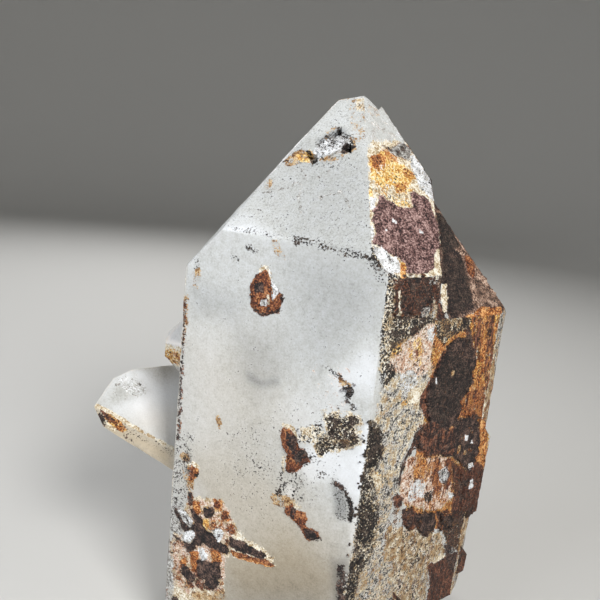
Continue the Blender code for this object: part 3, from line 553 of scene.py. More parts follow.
        ({"cream": 0.5}, 0.5, (103, 417, 112, 422, 119, 430, 114, 433, 106, 426)),
        ({"dark": 0.5}, 0.4, (97, 412, 103, 415, 106, 424, 104, 430, 99, 422)),
        ({"dark": -0.1}, 0.4, (122, 432, 130, 437, 134, 444, 126, 442)),
        ({"black": -0.35}, 0.5, (96, 406, 130, 426, 172, 450, 172, 456, 130, 434, 98, 416)),
    ),
    "edge_strip": (
        ({"cream": 0.8, "tan": 0.1, "redbrown": -0.3, "black": -0.4}, 1, (440, 290, 540, 290, 540, 620, 420,
         620)),
        ({"cream": 0.7, "grey": 0.1, "tan": 0}, 1, (498, 305, 512, 305, 500, 440, 488, 500, 476, 530, 464,
         600, 440, 610, 470, 520, 484, 440, 494, 380)),
        ({"orange": -0.2}, 1, (494, 340, 508, 340, 488, 500, 476, 530, 470, 520, 484, 440)),
        ({"rust": -0.15}, 0.9, (484, 400, 500, 400, 488, 500, 476, 530, 466, 520)),
        ({"black": -0.25}, 0.7, (498, 305, 512, 305, 500, 440, 488, 500, 476, 530, 464, 600, 440, 610, 470,
         520, 484, 440, 494, 380)),
    ),
    "upper_left": (
        # Painted light on the lower left of this face
        ({"painted_light_and_cloud": 0.3}, 4, (188, 262, 245, 215, 262, 232, 232, 246, 215, 262)),
    ),
}

# Stains of the two parallel right-hand walls, in painting order. Those on both run on from the main crystal's
# wall to the second one's behind it
WALL_STAINS = (
    ("right", {"black": -0.05, "cream": 0.35, "tan": -0.1}, 0.8, (384, 276, 444, 276, 444, 334, 400, 350,
     384, 340)),
    ("right", {"rust": 0.3}, 0.9, (392, 278, 406, 275, 436, 276, 440, 300, 430, 310, 424, 318, 414, 322, 402,
     320, 391, 318, 391, 300)),
    ("right", {"redbrown": 0.8, "dark": 0.15, "black": -0.1}, 0.8, (399, 279, 406, 276, 424, 275, 431, 280,
     433, 296, 430, 304, 424, 308, 414, 316, 404, 316, 399, 310)),
    ("right", {"redbrown": 0.6}, 0.4, (392, 288, 397, 290, 398, 314, 394, 318, 391, 312)),
    ("right", {"cream": 0.9}, 0.25, (398, 290, 400.5, 290, 400.5, 318, 398, 318)),
    ("right", {"redbrown": 0.3, "pinkish": 0.3}, 0.5, (434, 282, 442, 281, 444, 298, 437, 306, 434, 296)),
    ("right", {"grey": 0.6}, 0.5, (421, 309, 427, 306, 431, 308, 429, 315, 422, 318)),
    ("right", {"cream": 0.6}, 0.4, (413, 311, 420, 306, 423, 310, 421, 320, 414, 320)),
    ("right", {"cream": 1, "black": 0.25, "dark": -0.05}, 0.8, (384, 318, 400, 316, 418, 320, 432, 316, 436,
     322, 424, 330, 414, 334, 404, 338, 398, 344, 390, 350, 385, 352, 380, 346)),
    ("right", {"rust": 0.6, "orange": 0.1}, 0.5, (410, 331, 416, 326, 424, 324, 427, 328, 420, 334, 412,
     337)),
    ("right", {"cream": 0.4, "black": 0}, 0.8, (428, 316, 446, 314, 446, 334, 434, 334)),
    ("right", {"cream": 0.6, "tan": 0.2, "black": 0.1}, 0.6, (440, 272, 474, 262, 474, 330, 440, 332)),
    ("both", {"cream": 1.2, "grey": -0.05, "tan": -0.5, "pinkish": -0.4}, 1.2, (388, 352, 440, 340, 430, 380,
     424, 400, 430, 416, 410, 442, 400, 470, 394, 500, 380, 545, 380, 600, 430, 600, 470, 540, 470, 620, 340,
     620, 350, 560, 372, 440, 384, 380)),
    ("both", {"black": -0.3, "grey": 0.05}, 1, (388, 386, 424, 396, 430, 414, 410, 442, 400, 470, 396, 500,
     380, 530, 360, 530, 372, 440, 384, 400)),
    ("both", {"black": -0.25, "tan": -0.3, "pinkish": -0.2, "redbrown": -0.6}, 1, (372, 480, 400, 474, 396,
     500, 400, 512, 420, 540, 450, 536, 450, 560, 420, 600, 360, 600, 356, 540)),
    ("both", {"pinkish": 1.2, "cream": 0.6, "tan": -0.35, "black": -0.4}, 0.8, (388, 356, 396, 346, 408, 340,
     416, 334, 428, 324, 438, 322, 443, 336, 444, 346, 438, 357, 431, 368, 425, 376, 414, 377, 400, 374, 390,
     370)),
    ("both", {"ochre": -0.1, "orange": -0.35}, 0.8, (410, 340, 420, 338, 424, 350, 420, 364, 412, 364, 408,
     352)),
    ("both", {"redbrown": 0.7}, 0.3, (415, 350, 418, 349, 418, 356, 415, 356)),
    ("both", {"white": 0.7}, 0.5, (428, 330, 436, 326, 438, 334, 434, 344, 429, 342)),
    ("both", {"cream": 0.8, "pinkish": 0.3}, 0.5, (434, 342, 443, 338, 444, 346, 438, 357, 431, 368, 427,
     374, 428, 362)),
    ("right", {"ochre": 0, "tan": 0.1, "black": 0}, 0.8, (388, 344, 400, 342, 402, 350, 394, 356, 388, 356)),
    ("right", {"black": 0.2, "dark": -0.2}, 0.8, (382, 366, 392, 364, 394, 372, 390, 382, 384, 386, 381,
     378)),
    ("right", {"black": 0}, 0.5, (384, 396, 390, 395, 390, 401, 385, 402)),
    ("right", {"white": 0, "grey": 0.2, "black": -0.4}, 0.6, (400, 376, 408, 370, 416, 374, 417, 384, 408,
     393, 400, 390, 398, 383)),
    ("right", {"tan": 0.5, "ochre": 0.1}, 0.5, (400, 398, 407, 398, 407, 405, 401, 405)),
    ("right", {"cream": 0.8}, 0.7, (408, 392, 420, 386, 424, 396, 420, 406, 408, 406)),
    ("right", {"tan": 0.1, "ochre": -0.1, "cream": 0.8}, 1, (367, 474, 376, 470, 383, 476, 382, 488, 374,
     493, 366, 486)),
    ("both", {"redbrown": 0.6, "dark": 0.3}, 0.3, (428, 404, 431, 416, 426, 424, 414, 434, 411, 446, 404,
     458, 400, 470, 398, 484, 400, 486, 402, 474, 406, 462, 413, 450, 416, 438, 427, 427, 433, 417, 430,
     404)),
    ("both", {"cream": 0.7}, 0.3, (426, 402, 429, 415, 424, 423, 412, 433, 409, 445, 402, 457, 398, 470, 396,
     484, 398, 470, 400, 457, 407, 445, 410, 433, 422, 422, 427, 415)),
    ("second_right", {"cream": 1, "ochre": 0.5, "orange": 0.35, "rust": -0.35, "redbrown": -0.55}, 1, (434,
     318, 506, 312, 504, 345, 499, 385, 492, 416, 487, 453, 484, 480, 470, 520, 440, 530, 400, 520, 396, 490,
     402, 470, 412, 446, 426, 424, 420, 398, 432, 372)),
    ("second_right", {"cream": 0.8, "black": 0.2, "tan": 0.1}, 0.8, (428, 276, 446, 290, 450, 316, 472, 314,
     470, 326, 452, 336, 444, 344, 436, 336)),
    ("second_right", {"ochre": 0.6}, 0.8, (470, 316, 500, 314, 498, 350, 480, 360, 472, 344)),
    ("second_right", {"redbrown": 0.2}, 1, (474, 318, 482, 318, 480, 352, 474, 360)),
    ("second_right", {"redbrown": 0}, 0.8, (488, 316, 494, 316, 490, 400, 484, 400)),
    ("second_right", {"redbrown": 0.5, "dark": 0.2}, 0.5, (462, 318, 468, 318, 474, 348, 480, 352, 478, 358,
     470, 350, 466, 336)),
    ("right", {"cream": 1, "grey": 0, "black": 0.05, "dark": -0.2}, 0.8, (370, 422, 381, 428, 383, 450, 378,
     464, 371, 474, 376, 490, 378, 520, 374, 545, 366, 572, 362, 604, 345, 604, 355, 545, 363, 480)),
    ("right", {"cream": 0.15}, 1, (362, 540, 380, 530, 376, 560, 366, 604, 350, 604, 352, 570)),
    ("right", {"black": 0.9}, 0.6, (371, 426, 379, 428, 381, 446, 377, 462, 370, 470, 366, 468, 368, 444)),
    ("right", {"black": 0.7}, 0.7, (360, 498, 372, 498, 376, 520, 371, 541, 362, 544, 355, 538)),
    ("right", {"black": 0.6}, 0.6, (350, 560, 361, 556, 360, 602, 344, 602)),
    ("both", {"redbrown": 0.9}, 0.5, (444, 348, 434, 370, 426, 386, 418, 398, 420, 408, 427, 420, 434, 432,
     444, 430, 440, 400)),
    ("second_right", {"dark": 1}, 0.5, (446, 346, 455, 338, 466, 338, 474, 350, 477, 362, 472, 372, 473, 382,
     467, 392, 460, 400, 461, 410, 457, 418, 460, 430, 452, 436, 444, 432, 436, 430, 429, 420, 425, 404, 424,
     398, 429, 388, 431, 378, 437, 368, 442, 358)),
    ("second_right", {"olive": 0.5}, 0.6, (460, 342, 467, 340, 474, 350, 476, 364, 470, 368, 462, 358)),
    ("second_right", {"black": 0.05}, 1, (448, 350, 470, 368, 470, 385, 458, 404, 440, 428, 430, 410, 432,
     384)),
    # Painted glint: a tiny white highlight
    ("second_right", {"white": 0.8}, 0.25, (434, 377, 436.4, 377, 436.6, 384, 434.6, 384)),
    ("second_right", {"tan": 0.8}, 0.25, (450, 370, 453, 370, 453, 375, 450, 375)),
    ("second_right", {"cream": 0.5}, 0.4, (474, 340, 478, 346, 482, 360, 480, 372, 477, 364, 476, 350)),
    ("second_right", {"cream": 0.3, "rust": 0.1}, 0.7, (458, 402, 468, 392, 486, 386, 490, 392, 486, 416,
     470, 420, 460, 414)),
    ("both", {"redbrown": 1, "dark": -0.05}, 0.9, (430, 420, 444, 430, 456, 424, 462, 440, 454, 456, 446,
     458, 436, 454, 426, 456, 418, 450, 412, 446, 416, 436, 426, 426)),
    ("second_right", {"rust": 0.5}, 0.7, (420, 426, 434, 420, 436, 436, 426, 446, 416, 440)),
    ("second_right", {"black": 0.5, "dark": 0.9}, 0.6, (452, 424, 460, 418, 474, 414, 484, 420, 484, 436,
     478, 448, 474, 462, 466, 470, 458, 462, 452, 456, 454, 444)),
    # Painted glints: tiny white highlights on the dark crust
    ("second_right", {"white": 0.9}, 0.25, (463.5, 434, 467, 434, 466.5, 440, 463.5, 440)),
    ("second_right", {"white": 0.7}, 0.25, (469.5, 439, 472, 439, 472, 443, 469.5, 443)),
    ("second_right", {"tan": 0.9}, 0.25, (456, 446, 459, 444, 459, 450, 456, 453), (462, 449, 465, 449, 465,
     454, 462, 454)),
    ("second_right", {"tan": 0.6}, 0.2, (462, 456, 464, 456, 464, 465, 462, 465)),
    # Painted glint: a tiny white highlight
    ("second_right", {"white": 0.8}, 0.3, (467, 464, 472, 461, 473, 465, 468, 470)),
    ("second_right", {"rust": 0.5, "orange": 0.7, "ochre": 0.2}, 0.7, (477, 420, 491, 414, 487, 450, 484,
     476, 478, 476, 474, 462, 478, 448)),
    ("both", {"pinkish": 1, "cream": 0.3, "orange": -0.1, "rust": -0.35, "black": -0.4}, 0.9, (408, 456, 424,
     458, 438, 456, 450, 458, 452, 480, 450, 500, 440, 510, 424, 510, 408, 506, 400, 500, 400, 480)),
    ("second_right", {"orange": 0.4, "ochre": 0.2}, 0.7, (412, 460, 424, 458, 430, 470, 424, 484, 414, 482)),
    ("second_right", {"orange": 0.7, "rust": 0.2}, 0.5, (432, 462, 440, 458, 444, 470, 440, 490, 436, 496,
     432, 484)),
    ("second_right", {"orange": 0.5, "rust": 0.3}, 0.4, (446, 460, 452, 458, 452, 480, 446, 492, 444, 480)),
    ("second_right", {"white": 0.3}, 0.7, (402, 482, 424, 478, 424, 496, 410, 502, 402, 498)),
    ("second_right", {"white": 0.6, "black": 0}, 0.6, (438, 472, 446, 468, 450, 474, 446, 484, 440, 482)),
    ("second_right", {"black": 0.35}, 0.5, (424, 494, 432, 490, 432, 500, 426, 502)),
    # Painted glint: a tiny white highlight
    ("second_right", {"white": 0.7}, 0.4, (448, 493, 453, 492, 454, 498, 449, 499)),
    ("second_right", {"rust": 0.9, "redbrown": 0.3, "orange": 0.3, "cream": 0, "black": -0.2}, 0.8, (452,
     462, 466, 470, 476, 462, 486, 470, 482, 500, 474, 520, 460, 524, 452, 514, 454, 490)),
    ("second_right", {"orange": 0.4}, 0.35, (462, 474, 466, 474, 464, 500, 460, 500)),
    ("second_right", {"dark": 0.2}, 0.6, (458, 478, 466, 478, 464, 500, 458, 500)),
    # Painted glint: a tiny white highlight
    ("second_right", {"white": 0.8}, 0.3, (468, 479, 472, 478, 472, 487, 468, 488)),
    ("both", {"redbrown": 0.7, "rust": 0.3}, 0.5, (391, 498, 397, 494, 403, 498, 402, 506, 394, 508)),
    ("both", {"cream": 0.9, "tan": -0.05, "redbrown": -0.5, "black": -0.25, "pinkish": -0.3}, 1, (386, 528,
     412, 528, 440, 534, 446, 552, 430, 562, 424, 602, 380, 602)),
    ("both", {"redbrown": 0.9, "dark": 0.1}, 0.6, (402, 510, 412, 507, 417, 514, 414, 526, 408, 530, 402,
     524)),
    ("second_right", {"dark": 0.95, "redbrown": 0.3}, 0.5, island("brown_knob")),
    ("second_right", {"redbrown": 0.5, "dark": 0, "cream": 0.1}, 0.6, (436, 512, 448, 510, 454, 518, 450,
     530, 438, 532)),
    ("second_right", {"cream": 0.6, "tan": 0.5, "redbrown": 0.2, "black": 0.15}, 0.8, (440, 520, 474, 506,
     476, 524, 470, 548, 458, 552, 448, 544)),
    ("second_right", {"black": 0}, 0.6, (408, 556, 418, 552, 420, 560, 412, 566)),
    ("both", {"white": -0.5, "grey": -0.3}, 1, (396, 572, 412, 568, 428, 572, 430, 600, 396, 602)),
    ("second_right", {"rust": 1, "orange": 0.3, "redbrown": 0.4, "black": -0.2, "cream": -0.1}, 0.6, (428,
     566, 436, 558, 450, 554, 462, 550, 474, 536, 470, 560, 462, 602, 426, 602, 430, 584)),
    ("second_right", {"redbrown": 0.6}, 0.5, (429, 574, 438, 572, 438, 590, 430, 592)),
    ("second_right", {"dark": 0.8}, 0.5, (444, 544, 452, 546, 460, 552, 462, 560, 456, 572, 450, 570, 446,
     558)),
    ("second_right", {"cream": 0.7}, 0.3, (430, 560, 442, 552, 446, 556, 434, 564)),
    ("second_right", {"cream": 0.2}, 0.6, (448, 580, 454, 576, 452, 600, 446, 600)),
    ("right", {"cream": 1, "tan": -0.15, "grey": 0, "black": -0.3}, 1, (362, 564, 392, 562, 394, 604, 352,
     604)),
    ("right", {"cream": 0.7, "black": 0.1}, 0.7, (380, 282, 393, 276, 394, 300, 391, 350, 388, 372, 380, 374,
     382, 330)),
    # Painted glints: scattered tiny white highlights over both walls
    ("both", {"glint": -0.9}, 1, (384, 290, 510, 290, 480, 610, 340, 610)),
)


def direction(azimuth, rise=0.0):
    """Unit vector for an azimuth and a rise in degrees, in the crystal's own frame."""
    turn = math.radians(azimuth)
    level = math.cos(math.radians(rise))
    return Vector((math.sin(turn) * level, -math.cos(turn) * level, math.sin(math.radians(rise))))


def linear(text):
    """An sRGB hex colour as linear red, green and blue."""
    parts = [int(text[i:i + 2], 16) / 255 for i in (0, 2, 4)]
    return tuple(c / 12.92 if c <= 0.04045 else ((c + 0.055) / 1.055) ** 2.4 for c in parts)


# From the crystal's own frame to the shared one
ROW = Matrix.Scale(MM, 4) @ (Matrix.Translation((*MIDDLE, 0.0)) @ Matrix.Rotation(TURN, 4, "Z"))


def in_box(points):
    """Row-frame points, none of them outside the CAD model's box."""
    return np.clip(points, *(np.array(corner) for corner in CAD_BOX))


def to_row(points):
    """Crystal-frame millimetres to the shared frame's metres."""
    m = np.array(ROW)
    return points @ m[:3, :3].T + m[:3, 3]


def face_axes(face):
    """Normal, across and up of a named face, and its distance from the crystal's axis."""
    azimuth, rise, distance = FACES[face]
    normal = direction(azimuth, rise)
    across = direction(azimuth + 90)
    return np.array(normal), np.array(across), np.array(normal.cross(across)), distance


def hashed(cell, seed):
    """A steady random number from 0 to 1 for each whole-number cell."""
    h = cell[:, 0] * 374761393 + cell[:, 1] * 668265263 + cell[:, 2] * 1440662683 + seed * 974634777
    h &= 0xFFFFFFFF
    h = ((h ^ (h >> 13)) * 1274126177) & 0xFFFFFFFF
    h ^= h >> 16
    return h / 0xFFFFFFFF


def grain(points, size, seed):
    """Smooth noise from -1 to 1 with lumps of the given size, at many points."""
    q = points / size
    cell = np.floor(q).astype(np.int64)
    t = q - cell
    t = t * t * (3 - 2 * t)
    total = np.zeros(len(q))
    for corner in range(8):
        step = np.array((corner & 1, corner >> 1 & 1, corner >> 2 & 1))
        weight = np.where(step, t, 1 - t).prod(1)
        total += weight * hashed(cell + step, seed)
    return total * 2 - 1


def rough(points, size, seed, octaves=4):
    """Noise over several sizes, each half the last."""
    total = np.zeros(len(points))
    for i in range(octaves):
        total += grain(points, size / 2 ** i, seed + i) / 2 ** i
    return total


def smooth(x, low, high):
    """A soft step from 0 at low to 1 at high."""
    t = np.clip((x - low) / (high - low), 0.0, 1.0)
    return t * t * (3 - 2 * t)


def inside_by(points, outline):
    """Millimetres by which each point lies inside an outline, negative outside."""
    ring = np.array(outline, float)
    best = np.full(len(points), 1e9)
    within = np.zeros(len(points), bool)
    x, y = points[:, 0], points[:, 1]
    for a, b in zip(ring, np.roll(ring, -1, 0)):
        run = b - a
        t = np.clip(((x - a[0]) * run[0] + (y - a[1]) * run[1]) / max(run @ run, 1e-9), 0, 1)
        best = np.minimum(best, (x - a[0] - t * run[0]) ** 2 + (y - a[1] - t * run[1]) ** 2)
        if a[1] != b[1]:
            crosses = (a[1] > y) != (b[1] > y)
            within ^= crosses & (x < a[0] + (y - a[1]) * run[0] / run[1])
    best = np.sqrt(best)
    return np.where(within, best, -best)


def near(points, outline, margin):
    """Indices of the points within a margin of an outline's box."""
    low, high = outline.min(0) - margin, outline.max(0) + margin
    return np.nonzero(((points > low) & (points < high)).all(1))[0]


def on_face(face, outline):
    """Puts an outline from the photo on a face: millimetres across and up it, to a tenth."""
    normal, across, up, distance = face_axes(face)
    upright = Matrix.Rotation(-TURN, 3, "Z")
    right, above, ahead = (np.array(upright @ Vector(way)) for way in (CAMERA_RIGHT, CAMERA_UP, CAMERA_AHEAD))
    eye = np.array(ROW.inverted() @ Vector(CAMERA_PLACE))
    pixels = np.array(outline, float).reshape(-1, 2) - PHOTO_SIZE / 2
    rays = pixels[:, :1] * right - pixels[:, 1:] * above + PHOTO_SIZE * LENS / SENSOR_WIDTH * ahead
    points = eye + rays * ((distance - normal @ eye) / (rays @ normal))[:, None]
    return np.round(np.stack((points @ across, points @ up), 1), 1)


def face_stains(face):
    """Levels, border and outlines of each stain on a face, in painting order."""
    yield from STAINS.get(face, ())
    for where, *stain in WALL_STAINS:
        if where == face or where == "both" and face in ("right", "second_right"):
            yield stain


def blank_paint(count):
    """Fields for a number of points, all of them bare."""
    paint = {kind: np.full(count, -DEEP) for kind in PAINTED}
    for kind in TONES + TOUCHES:
        paint[kind] = np.zeros(count)
    return paint


def paint_face(paint, index, spots, face):
    """Lays a face's stains on the points with these indices, each over those before it."""
    for kind, amount in zip(TOUCHES, FEEL[face]):
        paint[kind][index] = amount
    for levels, soft, *outlines in face_stains(face):
        for outline in outlines:
            ring = on_face(face, outline)
            close = near(spots, ring, 2.5 * soft)
            if len(close):
                lay_stain(paint, index[close], inside_by(spots[close], ring) / soft, levels, soft, face)


def lay_stain(paint, at, depth, levels, soft, face):
    """Lays one stain on points, by how many border widths deep they lie in its outline."""
    for kind, level in levels.items():
        if kind in TONES:
            paint[kind][at] += level * smooth(depth, -1.0, 1.0)
            continue
        cap = GAIN * level if level < SOLID else DEEP
        if soft > WIDE and level > 0:
            cap = min(cap, GAIN * level * FIRM.get(face, FIRM_ELSEWHERE))
        paint[kind][at] = np.maximum(paint[kind][at], np.minimum(2 * depth, cap))
        if level >= WIPES:
            for other in PAINTED[PAINTED.index(kind) + 1:]:
                paint[other][at] = np.minimum(paint[other][at], np.maximum(-2 * depth, -DEEP))


def store_paint(mesh, paint):
    """Writes the painted fields on a mesh as point attributes."""
    for name, kinds in PAINT_SETS.items():
        values = np.zeros((len(mesh.vertices), 3), np.float32)
        for i, kind in enumerate(kinds):
            values[:, i] = paint[kind]
        mesh.attributes.new(name, "FLOAT_VECTOR", "POINT").data.foreach_set("vector", values.ravel())


def deselect():
    """Leaves nothing selected."""
    bpy.ops.object.select_all(action="DESELECT")


def activate(piece):
    """Selects one piece alone and makes it the active one."""
    deselect()
    piece.select_set(True)
    bpy.context.view_layer.objects.active = piece


def new_piece(name, mesh):
    """Puts a mesh in the scene as an object."""
    piece = bpy.data.objects.new(name, mesh)
    bpy.context.scene.collection.objects.link(piece)
    return piece


def settle(piece, slot, *nodes):
    """Makes a finished piece ride on the specimen in place of its CAD nodes."""
    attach(piece, "root")
    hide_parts(*nodes)


def relief(points, normal, face):
    """Millimetres that a face stands out at each crystal-frame point, by what grew or dissolved there."""
    broad = rough(points, *NOISE["broad"])
    fine = rough(points, *NOISE["fine"])
    if face == "front":
        return 0.05 * broad + 0.02 * fine
    if face == "upper_front":
        return 0.05 * broad + 0.035 * rough(points, *NOISE["frost"])
    if face == "upper_right":
        return 0.06 * broad + 0.06 * rough(points, *NOISE["skin"])
    if face in ("right", "second_right"):
        # Lumps drawn out upwards, with pits between them
        streaked = points * np.array((1.0, 1.0, 0.45))
        return 0.16 * rough(streaked, *NOISE["streaks"]) + 0.07 * rough(points, *NOISE["pits"])
    if face == "second_upper":
        return 0.12 * rough(points, *NOISE["grains"])
    if face == "side_top":
        return 0.04 * broad + 0.03 * fine
    steps = 0.0
    if abs(normal[2]) < 0.3:
        # Growth lines across the prism faces, 2.6 mm apart
        level = points[:, 2] + 1.5 * rough(points, *NOISE["steps"])
        steps = 0.05 * np.abs((level / 2.6) % 1.0 - 0.5)
    return 0.09 * broad + 0.06 * fine + steps


# Cosine and millimetres within which a crystal plane is the named face
SAME_WAY = 0.9993
SAME_PLANE = 0.35


def face_name(normal, distance):
    """The named face that a crystal plane is, or None."""
    for name in FACES:
        axis, _, _, at = face_axes(name)
        if normal @ axis > SAME_WAY and abs(distance - at) < SAME_PLANE:
            return name
    return None


# Millimetres between the points on each painted face, on the others that the photo's side shows, on the rest
SPACING = {"front": 0.62, "upper_front": 0.44, "upper_right": 0.4, "right": 0.38, "second_right": 0.38,
           "second_upper": 0.42, "side_top": 0.5, "side_low": 0.45, "edge_strip": 0.45, "upper_left": 0.5}
SEEN_SPACING = 0.6
HIDDEN_SPACING = 1.15
# Height of a row of equal-sided triangles against their side, how far points stray from the rows, and how far
# they keep from the border, both as shares of the spacing
ROW_HEIGHT = 0.866
STRAY = 0.16
KEEP_OFF = 0.55
# Points handled at a time, to save memory
BATCH = 4000


def face_spacing(face, normal):
    """Millimetres between the points on a face."""
    if face:
        return SPACING[face]
    return SEEN_SPACING if normal @ np.array(direction(60, 10)) > 0.8 else HIDDEN_SPACING


def scatter(flat, step, dice):
    """Points inside a flat outline, in the rows of an even triangle mesh and a little astray."""
    low, high = flat.min(0), flat.max(0)
    rows = [np.zeros((0, 2))]
    for i, y in enumerate(np.arange(low[1], high[1], step * ROW_HEIGHT)):
        x = np.arange(low[0] + (i % 2) * step / 2, high[0], step)
        rows.append(np.stack((x, np.full(len(x), y)), 1))
    inner = np.concatenate(rows)
    if len(inner):
        inner = inner + dice.uniform(-STRAY, STRAY, inner.shape) * step
        batches = np.array_split(inner, max(1, len(inner) // BATCH))
        inner = inner[np.concatenate([inside_by(batch, flat) > KEEP_OFF * step for batch in batches])]
    return inner


def even_mesh(bm):
    """Refills each flat face of a solid with even small triangles that share the points on its edges.
    Returns points, triangles, and for each flat face its points, normal and name."""
    bm.verts.index_update()
    corners = np.array([v.co[:] for v in bm.verts])
    faces = []
    for f in bm.faces:
        normal = np.array(f.normal)
        name = face_name(normal, float(normal @ corners[f.verts[0].index]))
        faces.append((f, normal, name, face_spacing(name, normal)))
    fineness = {f.index: s for f, _, _, s in faces}
    points = [corners]
    count = len(corners)
    along = {}
    for e in bm.edges:
        step = min(fineness[f.index] for f in e.link_faces)
        a, b = (corners[v.index] for v in e.verts)
        pieces = max(1, round(np.linalg.norm(b - a) / step))
        t = (np.arange(1, pieces) / pieces)[:, None]
        along[e.index] = list(range(count, count + pieces - 1))
        points.append(a + (b - a) * t)
        count += pieces - 1
    everything = np.concatenate(points)
    dice = np.random.default_rng(7)
    triangles = []
    patches = []
    for f, normal, name, step in faces:
        ring = []
        for loop in f.loops:
            ring.append(loop.vert.index)
            run = along[loop.edge.index]
            ring += run if loop.edge.verts[0] == loop.vert else run[::-1]
        across = np.cross((0.0, 0.0, 1.0), normal)
        if np.linalg.norm(across) < 0.1:
            across = np.array((1.0, 0.0, 0.0))
        across /= np.linalg.norm(across)
        up = np.cross(normal, across)
        base = everything[ring[0]]
        flat = (everything[ring] - base) @ np.stack((across, up), 1)
        inner = scatter(flat, step, dice)
        start = len(ring)
        border = [(i, (i + 1) % start) for i in range(start)]
        coords = [Vector(p) for p in np.concatenate((flat, inner))]
        _, _, cells, origin, *_ = geometry.delaunay_2d_cdt(coords, border, [], 1, 1e-9)
        index = np.concatenate((np.array(ring), np.arange(count, count + len(inner)))).astype(int)
        new = base + np.outer(inner[:, 0], across) + np.outer(inner[:, 1], up)
        points.append(new)
        count += len(inner)
        first = [o[0] for o in origin]
        cells = np.array([c for c in cells if len(c) == 3])
        triangles.append(index[np.array(first)[cells]])
        patches.append((index, normal, name))
    return np.concatenate(points), np.concatenate(triangles), patches


# Stains of the unseen faces: lump size in millimetres, seed, and how much more or less of it there is
WILD_STAINS = {
    "cream": (9.0, 61, 0.55), "tan": (7.0, 63, -0.1), "orange": (6.0, 65, -0.15), "rust": (8.0, 67, -0.05),
    "redbrown": (10.0, 69, -0.15), "dark": (9.0, 71, -0.1), "black": (5.0, 73, -0.3),
}
# Stains at the root of the bud on the left
BUD_ROOT = {"orange": -0.4, "ochre": 0.0, "dark": -1.1, "cream": 1.7}


def wild_paint(paint, index, points, normal):
    """Stains for faces that nobody sees in front: heavy on the right and back, light on the left."""
    across, depth, height = points.T
    amount = 0.55 * (normal @ np.array(direction(95, 5))) - 0.35
    if across.mean() > 12.0:
        # The second crystal is stained on every side
        amount = max(amount, 0.05)
    amount -= 0.9 * smooth(-across, 24.0, 32.0) * (depth < 6.0)
    low = smooth(height, 60.0, 5.0) * 0.15
    strip = normal @ np.array(direction(78)) > 0.99
    # The bud on the left gets painted light, and a rusty root
    bud = smooth(height, 68.0, 70.0) * smooth(-across, 28.0, 30.0) * (height < 84)
    root = bud * smooth(height, 75.0, 71.5)
    paint["painted_light_and_cloud"][index] += 0.5 * bud * (1 - root)
    for kind, level in BUD_ROOT.items():
        paint[kind][index] = np.where(root > 0.1, level + 1.6 * root - 1.2, paint[kind][index])
    streaked = points * np.array((1.0, 1.0, 0.4))
    for kind, (size, seed, extra) in WILD_STAINS.items():
        if strip:
            # The narrow strip beside the second wall is creamy from top to bottom
            extra += 1.0 if kind == "cream" else -0.5
        field = GAIN * (amount + low + extra + 0.9 * rough(streaked, size, seed, 2))
        paint[kind][index] = np.maximum(paint[kind][index], np.clip(field, -DEEP, DEEP))
    for kind in TOUCHES:
        paint[kind][index] = 0.5
    paint["painted_light_and_cloud"][index] += 0.25 * rough(points, *NOISE["tone"])
    paint["warm"][index] += 0.25 + 0.3 * smooth(height, 60.0, 5.0)


def paint_patch(paint, index, spots, normal, name):
    """Stains one flat patch of the crystals as the face that it is or belongs to."""
    wall = normal @ np.array(direction(120)) > 0.99 and abs(normal @ spots[0] - MAIN_STEP) < 0.4
    sunk = spots.mean(0) @ face_axes("upper_front")[0] - FACES["upper_front"][2]
    hollow = HOLLOW_DEPTHS[0] < sunk < HOLLOW_DEPTHS[1] and spots[:, 0].max() < HOLLOWS_END
    look = name or ("right" if wall else "upper_front" if hollow else None)
    if look:
        _, across, up, _ = face_axes(look)
        paint_face(paint, index, np.stack((spots @ across, spots @ up), 1), look)
    if wall:
        loose = spots[:, 2] > WALL_TOP
        wild_paint(paint, index[loose], spots[loose], normal)
    elif not look and normal[2] > -0.9:
        wild_paint(paint, index, spots, normal)


def edge_distance(bm, points):
    """Millimetres from each point to the nearest real crystal edge that sticks out."""
    tree_points = []
    for e in bm.edges:
        if len(e.link_faces) == 2 and e.calc_face_angle_signed(0.0) > 0.1:
            a, b = (np.array(v.co) for v in e.verts)
            n = max(2, int(np.linalg.norm(b - a) / 0.4))
            tree_points += list(a + (b - a) * np.linspace(0, 1, n)[:, None])
    tree = kdtree.KDTree(len(tree_points))
    for i, p in enumerate(tree_points):
        tree.insert(p, i)
    tree.balance()
    return np.array([tree.find(p)[2] for p in points])


def rgba(text):
    """A hex colour with full alpha."""
    return (*linear(text), 1.0)


# Which of the four tones is the main one, and where they sit on a ramp
MAIN_TONE = 2
TONE_PLACES = (0.14, 0.38, 0.62, 0.9)


def spread_tones(ramp, key, tones):
    """Spaces a mineral's tones along a ramp, each changed as much as its chosen main tone is."""
    chosen = getattr(bpy.context.scene.floater_colours, key)
    change = [new / old for new, old in zip(chosen, linear(tones[MAIN_TONE]))]
    stops = ramp.color_ramp.elements
    while len(stops) < len(tones):
        stops.new(0.5)
    for stop, place, tone in zip(stops, TONE_PLACES, tones):
        stop.position = place
        stop.color = (*(min(1.0, part * by) for part, by in zip(linear(tone), change)), 1.0)


def node(tree, kind, inputs=None, **settings):
    """Adds a node with its settings, and sets or links its inputs."""
    made = tree.nodes.new(kind)
    for name, value in settings.items():
        setattr(made, name, value)
    for socket, value in (inputs or {}).items():
        if isinstance(value, bpy.types.NodeSocket):
            tree.links.new(value, made.inputs[socket])
        else:
            made.inputs[socket].default_value = value
    return made


